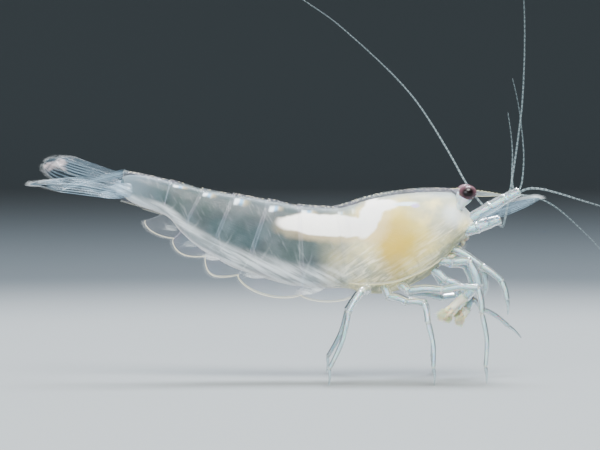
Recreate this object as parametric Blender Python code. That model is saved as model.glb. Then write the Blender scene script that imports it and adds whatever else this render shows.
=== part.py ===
"""Freshwater aquarium shrimp, a white pearl Neocaridina female, as a life-size still model.

The body points along +X with its back up. All tables are in millimetres in the body's own
coordinates: X forward, Y to the animal's left, Z up from the ground. At the end everything
is moved so that the middle of the bounding box's underside is the origin.
"""

import math

import bmesh
import bpy
from mathutils import Matrix, Vector

MM = 0.001
GAP = 0.1  # clearance between neighbouring pieces
THINNEST = 0.25  # half of the least thickness of a leg, fin or feeler
SIDES = {"right": -1.0, "left": 1.0}

# Head shield: dorsal X, Z, ventral X, Z and half width of each cross-section, tail end first.
SHIELD_SECTIONS = (
    (2.22, 10.47, 3.06, 5.22, 1.74),
    (3.00, 10.71, 3.60, 5.10, 1.86),
    (3.90, 11.01, 4.32, 5.04, 1.98),
    (4.98, 11.25, 5.16, 5.07, 2.12),
    (6.12, 11.41, 6.12, 5.31, 2.22),
    (7.08, 11.50, 6.96, 5.70, 2.22),
    (7.92, 11.53, 7.80, 6.18, 2.14),
    (8.70, 11.52, 8.52, 6.84, 1.98),
    (9.24, 11.43, 9.06, 7.50, 1.76),
    (9.66, 10.92, 9.48, 7.98, 1.52),
    (10.08, 10.44, 9.90, 8.34, 1.24),
    (10.44, 10.08, 10.32, 8.64, 0.96),
)
WIDEST_AT = 0.56  # share of the depth, from the back down, where a section is widest
MARGIN_AT = 0.87  # share of the depth where the shield ends and the breast begins
SHIELD_POINTS = 28

# Joints between tail segments: X, Z on the back, at the belly and at the flap's lower edge,
# then the half width there.
TAIL_JOINTS = (
    (2.16, 10.44, 2.72, 6.12, 2.96, 5.00, 1.70),
    (0.00, 10.50, 0.18, 6.48, 0.00, 5.16, 1.70),
    (-1.80, 10.83, -2.88, 7.56, -3.72, 6.36, 1.56),
    (-3.90, 11.16, -5.04, 8.34, -5.64, 7.50, 1.38),
    (-5.76, 11.46, -6.96, 9.06, -7.56, 8.55, 1.18),
    (-7.62, 11.94, -8.10, 9.96, -9.24, 9.60, 0.98),
)
LOBE_DEPTHS = (0.25, 0.58, 0.75, 0.60, 0.40)  # how far each side flap bulges below its joints
FLAP_THICKNESS = 0.5
LAST_SEGMENT_END = (-10.74, 12.63, 10.74, 0.68)  # X, back Z, belly Z and half width
SEGMENT_STEPS = 5

EYE_CENTRE = (9.99, 1.36, 11.28)
EYE_RADII = (0.54, 0.52, 0.44)
ROSTRUM_OUTLINE = (
    (9.38, 11.50), (9.90, 11.60), (10.70, 11.52), (11.50, 11.34), (12.30, 11.10),
    (11.40, 10.98), (10.70, 10.96), (10.20, 10.92), (9.86, 10.98),
)  # fmt: skip

# Limbs of the head and trunk. A joint is X, Y, Z and radius; Y counts outwards from the midline.
NEAR_LIMBS = {
    "maxilliped_right": (
        (9.00, 0.55, 7.95, 0.27), (10.80, 1.00, 6.90, 0.28), (12.00, 1.30, 6.02, 0.26),
        (12.34, 1.38, 4.90, 0.25), (12.38, 1.40, 3.95, 0.25),
    ),
    "leg1_right": (
        (8.30, 0.80, 7.15, 0.28), (9.10, 1.30, 7.12, 0.28), (10.05, 1.78, 7.20, 0.30),
        (10.62, 1.98, 5.78, 0.34), (9.72, 1.96, 4.98, 0.40), (8.95, 1.92, 4.38, 0.32),
        (8.52, 1.90, 4.08, 0.26),
    ),
    "leg2_right": (
        (7.90, 0.70, 6.70, 0.28), (8.70, 1.15, 6.05, 0.27), (9.60, 1.20, 5.65, 0.27),
        (10.20, 1.18, 4.85, 0.28), (9.95, 1.16, 4.25, 0.30), (9.60, 1.14, 3.72, 0.26),
    ),
    "leg3_right": (
        (5.95, 0.95, 5.80, 0.32), (6.45, 1.60, 5.42, 0.30), (8.40, 2.45, 5.52, 0.28),
        (10.52, 2.82, 5.66, 0.27), (10.74, 3.12, 4.20, 0.26), (10.94, 3.68, 1.50, 0.25),
        (10.97, 3.80, 0.40, 0.25), (10.97, 3.80, 0.00, 0.25),
    ),
    "leg4_right": (
        (4.98, 0.90, 5.70, 0.32), (5.30, 1.60, 5.06, 0.30), (6.30, 2.40, 4.80, 0.28),
        (7.30, 3.05, 4.78, 0.27), (7.52, 3.60, 3.70, 0.26), (7.84, 4.40, 1.40, 0.25),
        (7.88, 4.52, 0.40, 0.25), (7.88, 4.52, 0.00, 0.25),
    ),
    "leg5_right": (
        (4.10, 0.80, 5.75, 0.32), (3.98, 1.60, 5.42, 0.30), (3.66, 3.35, 5.48, 0.28),
        (2.86, 4.20, 4.32, 0.26), (1.74, 5.10, 1.56, 0.25), (1.66, 5.22, 0.40, 0.25),
        (1.66, 5.22, 0.00, 0.25),
    ),
}  # fmt: skip
FAR_LIMBS = {
    "maxilliped_left": (
        (9.00, 0.55, 7.95, 0.27), (10.30, 1.00, 7.30, 0.28), (11.10, 1.25, 6.40, 0.26),
        (11.20, 1.32, 5.40, 0.25), (11.00, 1.34, 4.70, 0.25),
    ),
    "leg1_left": (
        (8.30, 0.80, 7.15, 0.28), (9.10, 1.25, 6.90, 0.28), (10.00, 1.70, 6.80, 0.30),
        (10.50, 1.88, 5.70, 0.34), (10.05, 1.88, 4.95, 0.38), (9.75, 1.86, 4.30, 0.30),
        (9.62, 1.84, 3.95, 0.26),
    ),
    "leg2_left": (
        (7.90, 0.70, 6.70, 0.28), (8.50, 1.15, 5.85, 0.27), (9.30, 1.20, 5.50, 0.27),
        (9.75, 1.16, 4.70, 0.28), (9.40, 1.14, 4.15, 0.30), (9.00, 1.12, 3.75, 0.26),
    ),
    "leg3_left": (
        (5.95, 0.95, 5.80, 0.32), (6.70, 1.60, 5.10, 0.30), (8.60, 2.15, 4.80, 0.28),
        (10.36, 2.55, 4.78, 0.27), (11.14, 3.00, 4.06, 0.26), (13.10, 4.00, 2.78, 0.25),
        (13.60, 4.30, 2.20, 0.25),
    ),
    "leg4_left": (
        (4.98, 0.90, 5.70, 0.32), (5.36, 1.60, 5.00, 0.30), (6.50, 2.35, 4.58, 0.28),
        (7.60, 3.05, 4.46, 0.27), (7.80, 3.60, 3.36, 0.26), (8.10, 4.40, 1.20, 0.25),
        (8.12, 4.52, 0.40, 0.25), (8.12, 4.52, 0.00, 0.25),
    ),
    "leg5_left": (
        (4.10, 0.80, 5.75, 0.32), (3.99, 1.60, 5.36, 0.30), (3.80, 3.35, 5.24, 0.28),
        (2.90, 4.20, 3.98, 0.26), (1.76, 5.10, 1.30, 0.25), (1.62, 5.22, 0.40, 0.25),
        (1.62, 5.22, 0.00, 0.25),
    ),
}  # fmt: skip

# Stalks that carry the feelers, and the feelers themselves, thick end first.
ANTENNULE_STALK = (
    (10.20, 0.42, 9.62, 0.36), (11.40, 0.58, 10.36, 0.38), (12.24, 0.72, 10.86, 0.32),
    (13.00, 0.80, 11.24, 0.32),
)  # fmt: skip
ANTENNA_BASE = ((9.95, 0.76, 9.02, 0.33), (11.00, 1.00, 9.33, 0.32), (11.86, 1.16, 9.60, 0.26))
NEAR_FEELERS = {
    "antenna_right": (
        (11.78, 1.14, 9.57), (12.02, 1.76, 9.26), (12.16, 2.20, 9.72), (12.40, 2.22, 11.00),
        (12.74, 2.22, 13.20),
        (12.98, 2.30, 15.00), (13.17, 2.40, 16.80), (13.28, 2.50, 19.75), (13.22, 2.62, 22.70),
        (12.86, 2.80, 26.20), (12.10, 3.00, 29.80),
    ),
    "antennule_outer_right": (
        (12.95, 1.12, 11.24), (13.60, 1.14, 11.50), (14.20, 1.18, 11.51), (15.15, 1.30, 11.31),
        (16.70, 1.50, 10.84), (18.40, 1.66, 10.32), (20.40, 1.84, 9.60),
    ),
    "antennule_inner_right": (
        (13.00, 0.48, 11.20), (13.28, 0.46, 11.90), (13.38, 0.50, 13.50), (13.21, 0.60, 15.36),
        (13.00, 0.70, 16.73), (12.68, 0.80, 18.10),
    ),
}  # fmt: skip
FAR_FEELERS = {
    "antenna_left": (
        (11.78, 1.14, 9.57), (12.02, 1.76, 9.26), (11.80, 2.24, 9.70), (10.98, 2.66, 10.56),
        (10.12, 3.20, 11.75),
        (9.20, 4.00, 13.44), (8.17, 5.00, 15.21), (7.16, 6.00, 16.75), (6.14, 7.00, 17.99),
        (5.11, 8.00, 19.06), (3.51, 9.40, 20.58), (1.89, 10.80, 21.99), (0.00, 12.00, 23.30),
    ),
    "antennule_outer_left": (
        (12.90, 1.12, 11.16), (12.78, 1.16, 12.10), (12.82, 1.20, 13.48), (12.73, 1.30, 14.75),
        (12.55, 1.40, 16.07),
    ),
    "antennule_inner_left": (
        (13.00, 0.48, 11.10), (13.84, 0.54, 11.00), (14.76, 0.80, 10.72), (15.80, 1.00, 10.05),
        (17.53, 1.50, 8.46), (18.53, 1.80, 7.36),
    ),
}  # fmt: skip
SCALE_ROOT = (10.70, 1.14, 9.74)
SCALE_TIP = (14.24, 1.72, 10.94)
SCALE_WIDTH = 1.15
SCALE_TILT = 38.0  # degrees that the outer edge hangs below level

# Tail fan: where it starts, how it is turned, and its five blades.
FAN_ROOT = (-10.40, 0.0, 11.68)
FAN_YAW = 12.0
FAN_PITCH = 3.0
FAN_ROLL = 15.0
BLADES = {  # side; splay, lift and cup in degrees; root offset out and up; length and width
    "telson": (0.0, 0.0, -9.0, 0.0, 0.0, 0.74, 4.10, 1.05),
    "uropod_inner_right": (1.0, 15.0, 4.0, 17.0, 0.46, 0.00, 4.95, 1.35),
    "uropod_inner_left": (-1.0, 15.0, 4.0, 17.0, 0.46, 0.00, 4.95, 1.35),
    "uropod_outer_right": (1.0, 27.0, 5.0, 17.0, 0.50, -0.66, 5.80, 1.80),
    "uropod_outer_left": (-1.0, 24.0, 5.0, 17.0, 0.50, -0.66, 5.90, 1.80),
}

SWIMMERET_LENGTH = 2.35
SWIMMERET_SLOPE = 30.0  # degrees below the belly line, towards the tail


def material(name, colour, roughness):
    made = bpy.data.materials.new(name)
    made.use_nodes = True
    shader = made.node_tree.nodes["Principled BSDF"]
    shader.inputs["Base Color"].default_value = (*colour, 1.0)
    shader.inputs["Roughness"].default_value = roughness
    shader.inputs["Metallic"].default_value = 0.0
    return made


def clear_scene():
    for old in list(bpy.data.objects):
        bpy.data.objects.remove(old)


def collection(name):
    made = bpy.data.collections.new(name)
    bpy.context.scene.collection.children.link(made)
    return made


def add(name, data, finish):
    made = bpy.data.objects.new(name, data)
    made.data.materials.append(finish)
    SHRIMP.objects.link(made)
    return made


def loft(name, rings, caps, finish):
    """Skins unlike rings that hold the same number of points. caps lists the faces of an end."""
    mesh = bpy.data.meshes.new(name)
    shape = bmesh.new()
    rows = [[shape.verts.new(point * MM) for point in ring] for ring in rings]
    count = len(rows[0])
    for row, following in zip(rows, rows[1:]):
        for i in range(count):
            j = (i + 1) % count
            shape.faces.new((row[i], row[j], following[j], following[i]))
    for corners in caps:
        shape.faces.new([rows[0][i] for i in corners])
        shape.faces.new([rows[-1][i] for i in corners])
    bmesh.ops.recalc_face_normals(shape, faces=shape.faces)
    shape.to_mesh(mesh)
    shape.free()
    mesh.shade_smooth()
    mesh.set_sharp_from_angle(angle=math.radians(40))
    return add(name, mesh, finish)


def rounded_path(joints, reach=0.22):
    """The joints of a limb with each bend softened into three points."""
    path = [joints[0]]
    for before, joint, after in zip(joints, joints[1:], joints[2:]):
        place = Vector(joint[:3])
        back = (Vector(before[:3]) - place).normalized() * reach
        on = (Vector(after[:3]) - place).normalized() * reach
        if back.angle(on) > math.radians(165):
            path.append(joint)
            continue
        for offset in (back, (back + on) / 4, on):
            path.append((*(place + offset), *joint[3:]))
    path.append(joints[-1])
    return path


def tube(name, points, finish):
    """A round limb or feeler through points of X, Y, Z and radius, with its ends closed."""
    curve = bpy.data.curves.new(name, "CURVE")
    curve.dimensions = "3D"
    curve.bevel_depth = MM
    curve.bevel_resolution = 2
    curve.use_fill_caps = True
    line = curve.splines.new("POLY")
    line.points.add(len(points) - 1)
    for target, (x, y, z, radius) in zip(line.points, points):
        target.co = (x * MM, y * MM, z * MM, 1.0)
        target.radius = radius
    return add(name, curve, finish)


def as_mesh(piece):
    """The same piece with its curve turned into a closed mesh."""
    graph = bpy.context.evaluated_depsgraph_get()
    name = piece.name
    mesh = bpy.data.meshes.new_from_object(piece.evaluated_get(graph))
    shape = bmesh.new()
    shape.from_mesh(mesh)
    bmesh.ops.remove_doubles(shape, verts=shape.verts, dist=0.001 * MM)
    bmesh.ops.recalc_face_normals(shape, faces=shape.faces)
    shape.to_mesh(mesh)
    shape.free()
    place = piece.matrix_world.copy()
    bpy.data.objects.remove(piece)
    made = bpy.data.objects.new(name, mesh)
    made.matrix_world = place
    SHRIMP.objects.link(made)
    return made


def grown(piece):
    """A hidden copy of an untrimmed piece, swollen by the clearance, to cut neighbours with."""
    name = "clear_of_" + piece.name
    if name in bpy.data.objects:
        return bpy.data.objects[name]
    made = bpy.data.objects.new(name, piece.data)
    made.matrix_world = piece.matrix_world
    CUTTERS.objects.link(made)
    made.hide_render = True
    made.display_type = "WIRE"
    swell = made.modifiers.new("swell", "DISPLACE")
    swell.strength = GAP * MM
    swell.mid_level = 0.0
    return made


def clear_of(piece, *neighbours):
    """Trims a piece where it would run into its neighbours."""
    for neighbour in neighbours:
        cut = piece.modifiers.new("clear of " + neighbour.name, "BOOLEAN")
        cut.operation = "DIFFERENCE"
        cut.object = grown(neighbour)


def egg_point(section, angle):
    """A point of a shield section: angle 0 is the back and 180 degrees the belly."""
    back_x, back_z, belly_x, belly_z, half_width = section
    back = Vector((back_x, 0.0, back_z))
    belly = Vector((belly_x, 0.0, belly_z))
    rise = math.cos(angle)
    share = WIDEST_AT * (1.0 - rise) if rise > 0 else WIDEST_AT - (1.0 - WIDEST_AT) * rise
    place = back.lerp(belly, share)
    pinch = 1.0 - 0.10 * max(0.0, rise)
    place.y = half_width * math.sin(angle) * pinch
    return place


def shield_ring(section, first, last):
    """The part of a section between two angles, from the animal's right round to its left."""
    count = SHIELD_POINTS // 2
    angles = [first + (last - first) * i / (count - 1) for i in range(count)]
    return [egg_point(section, angle) for angle in angles]


def make_shield(shell):
    """Head shield and, under a thin parting along its lower margin, the breast with the limbs."""
    below = (1.0 - MARGIN_AT) / (1.0 - WIDEST_AT)
    margin = math.acos(-(1.0 - below))
    parting = math.radians(1.5)
    shield = [shield_ring(s, -margin + parting, margin - parting) for s in SHIELD_SECTIONS]
    breast = [
        shield_ring(s, margin + parting, 2 * math.pi - margin - parting) for s in SHIELD_SECTIONS
    ]
    every = list(range(SHIELD_POINTS // 2))
    return (
        loft("carapace", shield, [every], shell),
        loft("breast", breast, [every], shell),
    )


def joint_at(segment, share):
    """The joint line at a share of the way along a tail segment, front to back."""
    front, back = TAIL_JOINTS[segment], TAIL_JOINTS[segment + 1]
    mixed = [a + (b - a) * share for a, b in zip(front, back)]
    corners = [Vector((mixed[i], 0.0, mixed[i + 1])) for i in (0, 2, 4)]
    return corners, mixed[6]


ARCH_STEPS = 7


def segment_ring(segment, share):
    """A tail segment's section: an arch over the back, and a hanging flap on each side."""
    (back, belly, edge), half_width = joint_at(segment, share)
    bulge = LOBE_DEPTHS[segment] * math.sin(math.pi * share**1.15) ** 0.7 if 0 < share < 1 else 0.0
    edge = edge + (edge - belly).normalized() * bulge
    half = []
    for step in range(1, ARCH_STEPS + 1):
        angle = math.radians(90) * step / ARCH_STEPS
        place = back.lerp(belly, 1.0 - math.cos(angle))
        place.y = half_width * math.sin(angle)
        half.append(place)
    inner = half_width - FLAP_THICKNESS
    for place, out in (
        (belly.lerp(edge, 0.55), half_width * 0.99),
        (edge.copy(), half_width * 0.93),
        (edge.copy(), inner * 0.93),
        (belly.copy(), inner),
    ):
        place.y = out
        half.append(place)
    other = [Vector((p.x, -p.y, p.z)) for p in reversed(half)]
    top = back.copy()
    middle = belly.lerp(back, 0.02)
    return [top, *half, middle, *other]


def segment_caps():
    """An end of a segment as three flat faces: the body and the two flaps."""
    count = ARCH_STEPS + 4  # points of one side
    body = [0, *range(1, ARCH_STEPS + 1), count, count + 1, count + 2]
    body += range(2 * count + 2 - ARCH_STEPS, 2 * count + 2)
    right = list(range(ARCH_STEPS, count + 1))
    left = list(range(count + 2, 2 * count + 3 - ARCH_STEPS))
    return [body, right, left]


def make_segment(segment, shell):
    """One of the five tail segments that carry swimmerets."""
    length = (joint_at(segment, 0.0)[0][0] - joint_at(segment, 1.0)[0][0]).length
    margin = 0.5 * GAP / length
    shares = [margin + (1 - 2 * margin) * i / SEGMENT_STEPS for i in range(SEGMENT_STEPS + 1)]
    rings = [segment_ring(segment, share) for share in shares]
    return loft(f"tail_segment_{segment + 1}", rings, segment_caps(), shell)


def make_last_segment(shell):
    """The sixth tail segment, a long tapering barrel with no flaps."""
    front_back, front_z, belly_x, belly_z, _, _, front_width = TAIL_JOINTS[-1]
    end_x, end_back, end_belly, end_width = LAST_SEGMENT_END
    rings = []
    for step in range(6):
        share = step / 5
        back = Vector((front_back - GAP, 0, front_z)).lerp(Vector((end_x, 0, end_back)), share)
        belly = Vector((belly_x - GAP, 0, belly_z)).lerp(Vector((end_x, 0, end_belly)), share)
        hump = 0.16 * math.sin(math.pi * share)
        back.z += 0.6 * hump
        width = front_width * 0.94 + (end_width - front_width * 0.94) * share**1.3
        ring = []
        for i in range(20):
            angle = 2 * math.pi * i / 20
            place = back.lerp(belly, (1 - math.cos(angle)) / 2)
            place.y = width * math.sin(angle)
            ring.append(place)
        rings.append(ring)
    return loft("tail_segment_6", rings, [list(range(20))], shell)


def leaf(length, width, root, widest, point):
    """Outline of a flat blade that lies along +X from the origin, as X, Y pairs."""
    edge = []
    for step in range(10):
        share = math.sin(math.radians(90) * step / 9) if step else 0.0
        if share < widest:
            swell = root + (1 - root) * math.sin(math.radians(90) * share / widest)
        else:
            along = (share - widest) / (1 - widest)
            swell = (1 - along**2) ** 0.5 * (1 - point * along)
        edge.append((share * length, 0.5 * width * swell))
    return edge + [(x, -y) for x, y in reversed(edge[:-1])]


def blade(name, outline, place, along, outwards, finish):
    """A flat fin, its outline's X laid along one direction and its Y towards the outer edge."""
    curve = bpy.data.curves.new(name, "CURVE")
    curve.dimensions = "2D"
    curve.fill_mode = "BOTH"
    curve.extrude = THINNEST * MM
    line = curve.splines.new("POLY")
    line.points.add(len(outline) - 1)
    line.use_cyclic_u = True
    for target, (x, y) in zip(line.points, outline):
        target.co = (x * MM, y * MM, 0.0, 1.0)
    x_axis = along.normalized()
    z_axis = x_axis.cross(outwards).normalized()
    turn = Matrix((x_axis, z_axis.cross(x_axis), z_axis)).transposed().to_4x4()
    piece = add(name, curve, finish)
    piece.matrix_world = Matrix.Translation(Vector(place) * MM) @ turn
    bpy.context.view_layer.update()
    return as_mesh(piece)


def make_fan(last_segment, fin):
    """Telson and four uropods, spread and rolled so that the left side stands higher."""
    yaw, pitch, roll = (math.radians(a) for a in (FAN_YAW, FAN_PITCH, FAN_ROLL))
    axis = Vector((-math.cos(yaw), math.sin(yaw), math.sin(pitch))).normalized()
    level = axis.cross(Vector((0, 0, 1))).normalized() * -1.0  # towards the animal's right
    upright = level.cross(axis).normalized() * -1.0
    if upright.z < 0:
        upright.negate()
    if level.y > 0:
        level.negate()
    right = level * math.cos(roll) - upright * math.sin(roll)
    up = upright * math.cos(roll) + level * math.sin(roll)
    made = {}
    for name, (side, splay, lift, cup, out, rise, length, width) in BLADES.items():
        splay, lift, cup = (math.radians(angle) for angle in (splay, lift, cup))
        outwards = right * side if side else right
        outwards = outwards * math.cos(cup) + up * math.sin(cup)
        raised = axis * math.cos(lift) + up * math.sin(lift)
        along = raised * math.cos(splay) + outwards * math.sin(splay)
        edge = outwards * math.cos(splay) - raised * math.sin(splay)
        root = Vector(FAN_ROOT) + outwards * out + up * rise
        if side:
            outline = leaf(length, width, 0.35, 0.62, 0.1)
        else:
            outline = leaf(length, width, 0.95, 0.15, 0.45)
        made[name] = blade(name, outline, root, along, edge, fin)
        above = made.get(name.replace("outer", "inner")) if "outer" in name else made["telson"]
        clear_of(made[name], last_segment, *([above] if above is not made[name] else []))


def make_swimmerets(segments, fin):
    """Five pairs of paddles folded back between the side flaps."""
    slope = math.radians(SWIMMERET_SLOPE)
    for number, segment in enumerate(segments):
        belly = [joint_at(number, share)[0][1] for share in (0.0, 1.0)]
        tail_ward = (belly[1] - belly[0]).normalized()
        down = Vector((tail_ward.z, 0, -tail_ward.x))
        if down.z > 0:
            down.negate()
        along = tail_ward * math.cos(slope) + down * math.sin(slope)
        root = joint_at(number, 0.34)[0][1] - along * 0.25
        width = joint_at(number, 0.5)[1] - FLAP_THICKNESS
        for side, sign in SIDES.items():
            y = sign * (0.5 * width + 0.03)
            radius = min(0.30, 0.5 * width - 0.08)
            points = []
            for share, thick in ((0, 0.9), (0.35, 1.0), (0.75, 1.0), (1, 0.8)):
                place = root + along * (SWIMMERET_LENGTH * share)
                points.append((place.x, y, place.z, radius * thick))
            piece = as_mesh(tube(f"swimmeret_{number + 1}_{side}", points, fin))
            clear_of(piece, segment)


def mirrored(joints, sign):
    return [(x, y * sign, z, *rest) for x, y, z, *rest in joints]


def make_limbs(breast, shield, limb):
    for name, joints in {**NEAR_LIMBS, **FAR_LIMBS}.items():
        sign = SIDES[name.split("_")[-1]]
        piece = as_mesh(tube(name, rounded_path(mirrored(joints, sign)), limb))
        clear_of(piece, breast, shield)


def make_eyes(shield, cornea, shell):
    """Compound eyes on short stalks that stand out from under the shield's front edge."""
    for side, sign in SIDES.items():
        x, y, z = EYE_CENTRE
        mesh = bpy.data.meshes.new(f"eye_{side}")
        shape = bmesh.new()
        bmesh.ops.create_uvsphere(shape, u_segments=16, v_segments=10, radius=1.0)
        bmesh.ops.scale(shape, vec=Vector(EYE_RADII) * MM, verts=shape.verts)
        bmesh.ops.translate(shape, vec=Vector((x, y * sign, z)) * MM, verts=shape.verts)
        shape.to_mesh(mesh)
        shape.free()
        mesh.shade_smooth()
        eye = add(f"eye_{side}", mesh, cornea)
        joints = ((9.50, 0.85, 10.20, 0.30), (9.70, 1.10, 10.66, 0.30), (9.94, 1.32, 11.10, 0.38))
        stalk = as_mesh(tube(f"eyestalk_{side}", mirrored(joints, sign), shell))
        clear_of(stalk, shield, eye)


def make_rostrum(shield, shell):
    """The toothless core of the beak, a thin upright blade on the midline."""
    piece = blade(
        "rostrum",
        [(x, -z) for x, z in ROSTRUM_OUTLINE],
        (0, 0, 0),
        Vector((1, 0, 0)),
        Vector((0, 0, -1)),
        shell,
    )
    clear_of(piece, shield)


def make_antennae(shield, shell, fin, feeler):
    """Stalks, scales and the six long feelers of the head."""
    for side, sign in SIDES.items():
        stalk = as_mesh(tube(f"antennule_stalk_{side}", mirrored(ANTENNULE_STALK, sign), shell))
        clear_of(stalk, shield)
        base = as_mesh(tube(f"antenna_base_{side}", mirrored(ANTENNA_BASE, sign), shell))
        clear_of(base, shield)
        root, tip = (Vector((x, y * sign, z)) for x, y, z in (SCALE_ROOT, SCALE_TIP))
        tilt = math.radians(SCALE_TILT)
        outwards = Vector((0, sign * math.cos(tilt), -math.sin(tilt)))
        outline = leaf((tip - root).length, SCALE_WIDTH, 0.5, 0.4, 0.35)
        scale = blade(f"antennal_scale_{side}", outline, root, tip - root, outwards, fin)
        clear_of(scale, shield, stalk, base)
        for name, points in {**NEAR_FEELERS, **FAR_FEELERS}.items():
            if not name.endswith(side):
                continue
            line = [(*point, THINNEST) for point in mirrored(points, sign)]
            piece = as_mesh(tube(name, line, feeler))
            carriers = (base,) if name.startswith("antenna_") else (stalk, scale)
            clear_of(piece, *carriers)


def centre_on_ground():
    """Moves the animal so that its box stands on the origin, through one empty."""
    graph = bpy.context.evaluated_depsgraph_get()
    corners = []
    for piece in SHRIMP.objects:
        shown = piece.evaluated_get(graph)
        corners += [shown.matrix_world @ v.co for v in shown.data.vertices]
    low = Vector(min(c[i] for c in corners) for i in range(3))
    high = Vector(max(c[i] for c in corners) for i in range(3))
    carrier = bpy.data.objects.new("shrimp_origin", None)
    SHRIMP.objects.link(carrier)
    for piece in (*SHRIMP.objects, *CUTTERS.objects):
        if piece is not carrier:
            piece.parent = carrier
    carrier.location = (-(low.x + high.x) / 2, -(low.y + high.y) / 2, -low.z)


clear_scene()
SHRIMP = collection("shrimp")
CUTTERS = collection("cutters")

shell = material("milky shell", (0.62, 0.70, 0.72), 0.25)
limb = material("glassy limb", (0.60, 0.72, 0.74), 0.3)
fin = material("clear fin", (0.66, 0.74, 0.78), 0.3)
feeler = material("feeler", (0.55, 0.62, 0.62), 0.4)
cornea = material("dark red eye", (0.12, 0.04, 0.05), 0.15)

carapace, breast = make_shield(shell)
segments = [make_segment(number, shell) for number in range(5)]
last_segment = make_last_segment(shell)
make_rostrum(carapace, shell)
make_eyes(carapace, cornea, shell)
make_antennae(carapace, shell, fin, feeler)
make_limbs(breast, carapace, limb)
make_swimmerets(segments, fin)
make_fan(last_segment, fin)
bpy.context.view_layer.update()
centre_on_ground()
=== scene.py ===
"""Looks of a white pearl dwarf shrimp: flesh, clear plates, limbs, feelers and a small studio.

All shapes are worked out in millimetres in the body's own coordinates, X towards the head,
Y to the animal's left and Z up from the ground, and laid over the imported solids.
"""

import functools
import math
import random

import bpy
import numpy as np
from bpy.props import FloatProperty, FloatVectorProperty, IntProperty, PointerProperty
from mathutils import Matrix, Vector

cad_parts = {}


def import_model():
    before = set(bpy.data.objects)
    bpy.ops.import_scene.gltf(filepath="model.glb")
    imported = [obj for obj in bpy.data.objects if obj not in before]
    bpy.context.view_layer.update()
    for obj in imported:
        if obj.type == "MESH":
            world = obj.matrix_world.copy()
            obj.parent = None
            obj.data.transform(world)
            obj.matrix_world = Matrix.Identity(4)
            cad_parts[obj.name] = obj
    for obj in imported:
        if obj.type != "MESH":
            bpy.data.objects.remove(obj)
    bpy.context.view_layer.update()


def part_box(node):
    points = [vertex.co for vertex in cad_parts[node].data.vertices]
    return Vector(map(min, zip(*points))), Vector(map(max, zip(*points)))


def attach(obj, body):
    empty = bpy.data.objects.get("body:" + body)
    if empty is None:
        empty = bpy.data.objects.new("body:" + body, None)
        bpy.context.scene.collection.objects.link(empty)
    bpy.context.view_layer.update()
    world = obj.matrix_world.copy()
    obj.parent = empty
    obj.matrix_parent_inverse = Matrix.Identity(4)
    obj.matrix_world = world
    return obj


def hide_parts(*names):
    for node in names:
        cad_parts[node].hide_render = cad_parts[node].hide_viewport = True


bl_info = {
    "name": "Pearl Shrimp",
    "version": (1, 0, 0),
    "blender": (4, 5, 0),
    "location": "3D View > Sidebar > Shrimp",
    "description": "Dresses the solids of a white pearl dwarf shrimp and sets up its studio",
    "category": "Add Mesh",
}

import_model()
MM = 0.001
SIDES = {"right": -1.0, "left": 1.0}

THICK_BLADE = 0.16  # mm, the wall of the beak and of the telson

EYE_CENTRE = (9.99, 1.36, 11.28)
EYE_RADII = (0.54, 0.50, 0.45)
EYE_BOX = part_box("eye_right")
ORIGIN = (EYE_BOX[0] + EYE_BOX[1]) / 2 - Vector((EYE_CENTRE[0], -EYE_CENTRE[1], EYE_CENTRE[2])) * MM

# Cross-sections of the head shield, tail end first: back X, Z, belly X, Z and half width.
SHIELD = (
    (2.22, 10.47, 3.06, 5.22, 1.74),
    (3.00, 10.71, 3.60, 5.10, 1.86),
    (3.90, 11.01, 4.32, 5.04, 1.98),
    (4.98, 11.25, 5.16, 5.07, 2.12),
    (6.12, 11.41, 6.12, 5.31, 2.22),
    (7.08, 11.50, 6.96, 5.70, 2.22),
    (7.92, 11.53, 7.80, 6.18, 2.14),
    (8.70, 11.52, 8.52, 6.84, 1.98),
    (9.24, 11.43, 9.06, 7.50, 1.76),
    (9.66, 10.92, 9.48, 7.98, 1.52),
    (10.08, 10.44, 9.90, 8.34, 1.24),
    (10.44, 10.08, 10.32, 8.64, 0.96),
)
WIDEST_AT = 0.56  # share of the way from back to belly
SHIELD_MARGIN = math.radians(134.8)  # how far down each side the shield's lower edge lies

# Joints between tail segments: back X, Z, belly X, Z, lower edge of the side flap X, Z, half width.
TAIL_JOINTS = (
    (2.16, 10.44, 2.72, 6.12, 2.96, 5.00, 1.70),
    (0.00, 10.50, 0.18, 6.48, 0.00, 5.16, 1.70),
    (-1.80, 10.83, -2.88, 7.56, -3.72, 6.36, 1.56),
    (-3.90, 11.16, -5.04, 8.34, -5.64, 7.50, 1.38),
    (-5.76, 11.46, -6.96, 9.06, -7.56, 8.55, 1.18),
    (-7.62, 11.94, -8.10, 9.96, -9.24, 9.60, 0.98),
)
TAIL_END = (-10.74, 12.63, -10.74, 10.74, -10.74, 10.74, 0.68)
# The flesh skin runs through the shield's sections, less the first, and through all the joints.
FLESH_SPANS = len(SHIELD) + len(TAIL_JOINTS) - 1
LOBE_DEPTHS = (0.25, 0.58, 0.75, 0.60, 0.40)  # how far each side flap bulges below its edge
# How far each flap stands out: the second laps over its neighbours on both sides.
FLAP_STAND = (0.00, 0.11, 0.04, 0.02, 0.0)
# How far the tail's flesh hangs below the table's belly at each joint, between the flaps.
BELLY_DROPS = (0.75, 1.05, 1.35, 1.2, 0.55, 0.12, 0.0)

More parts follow.
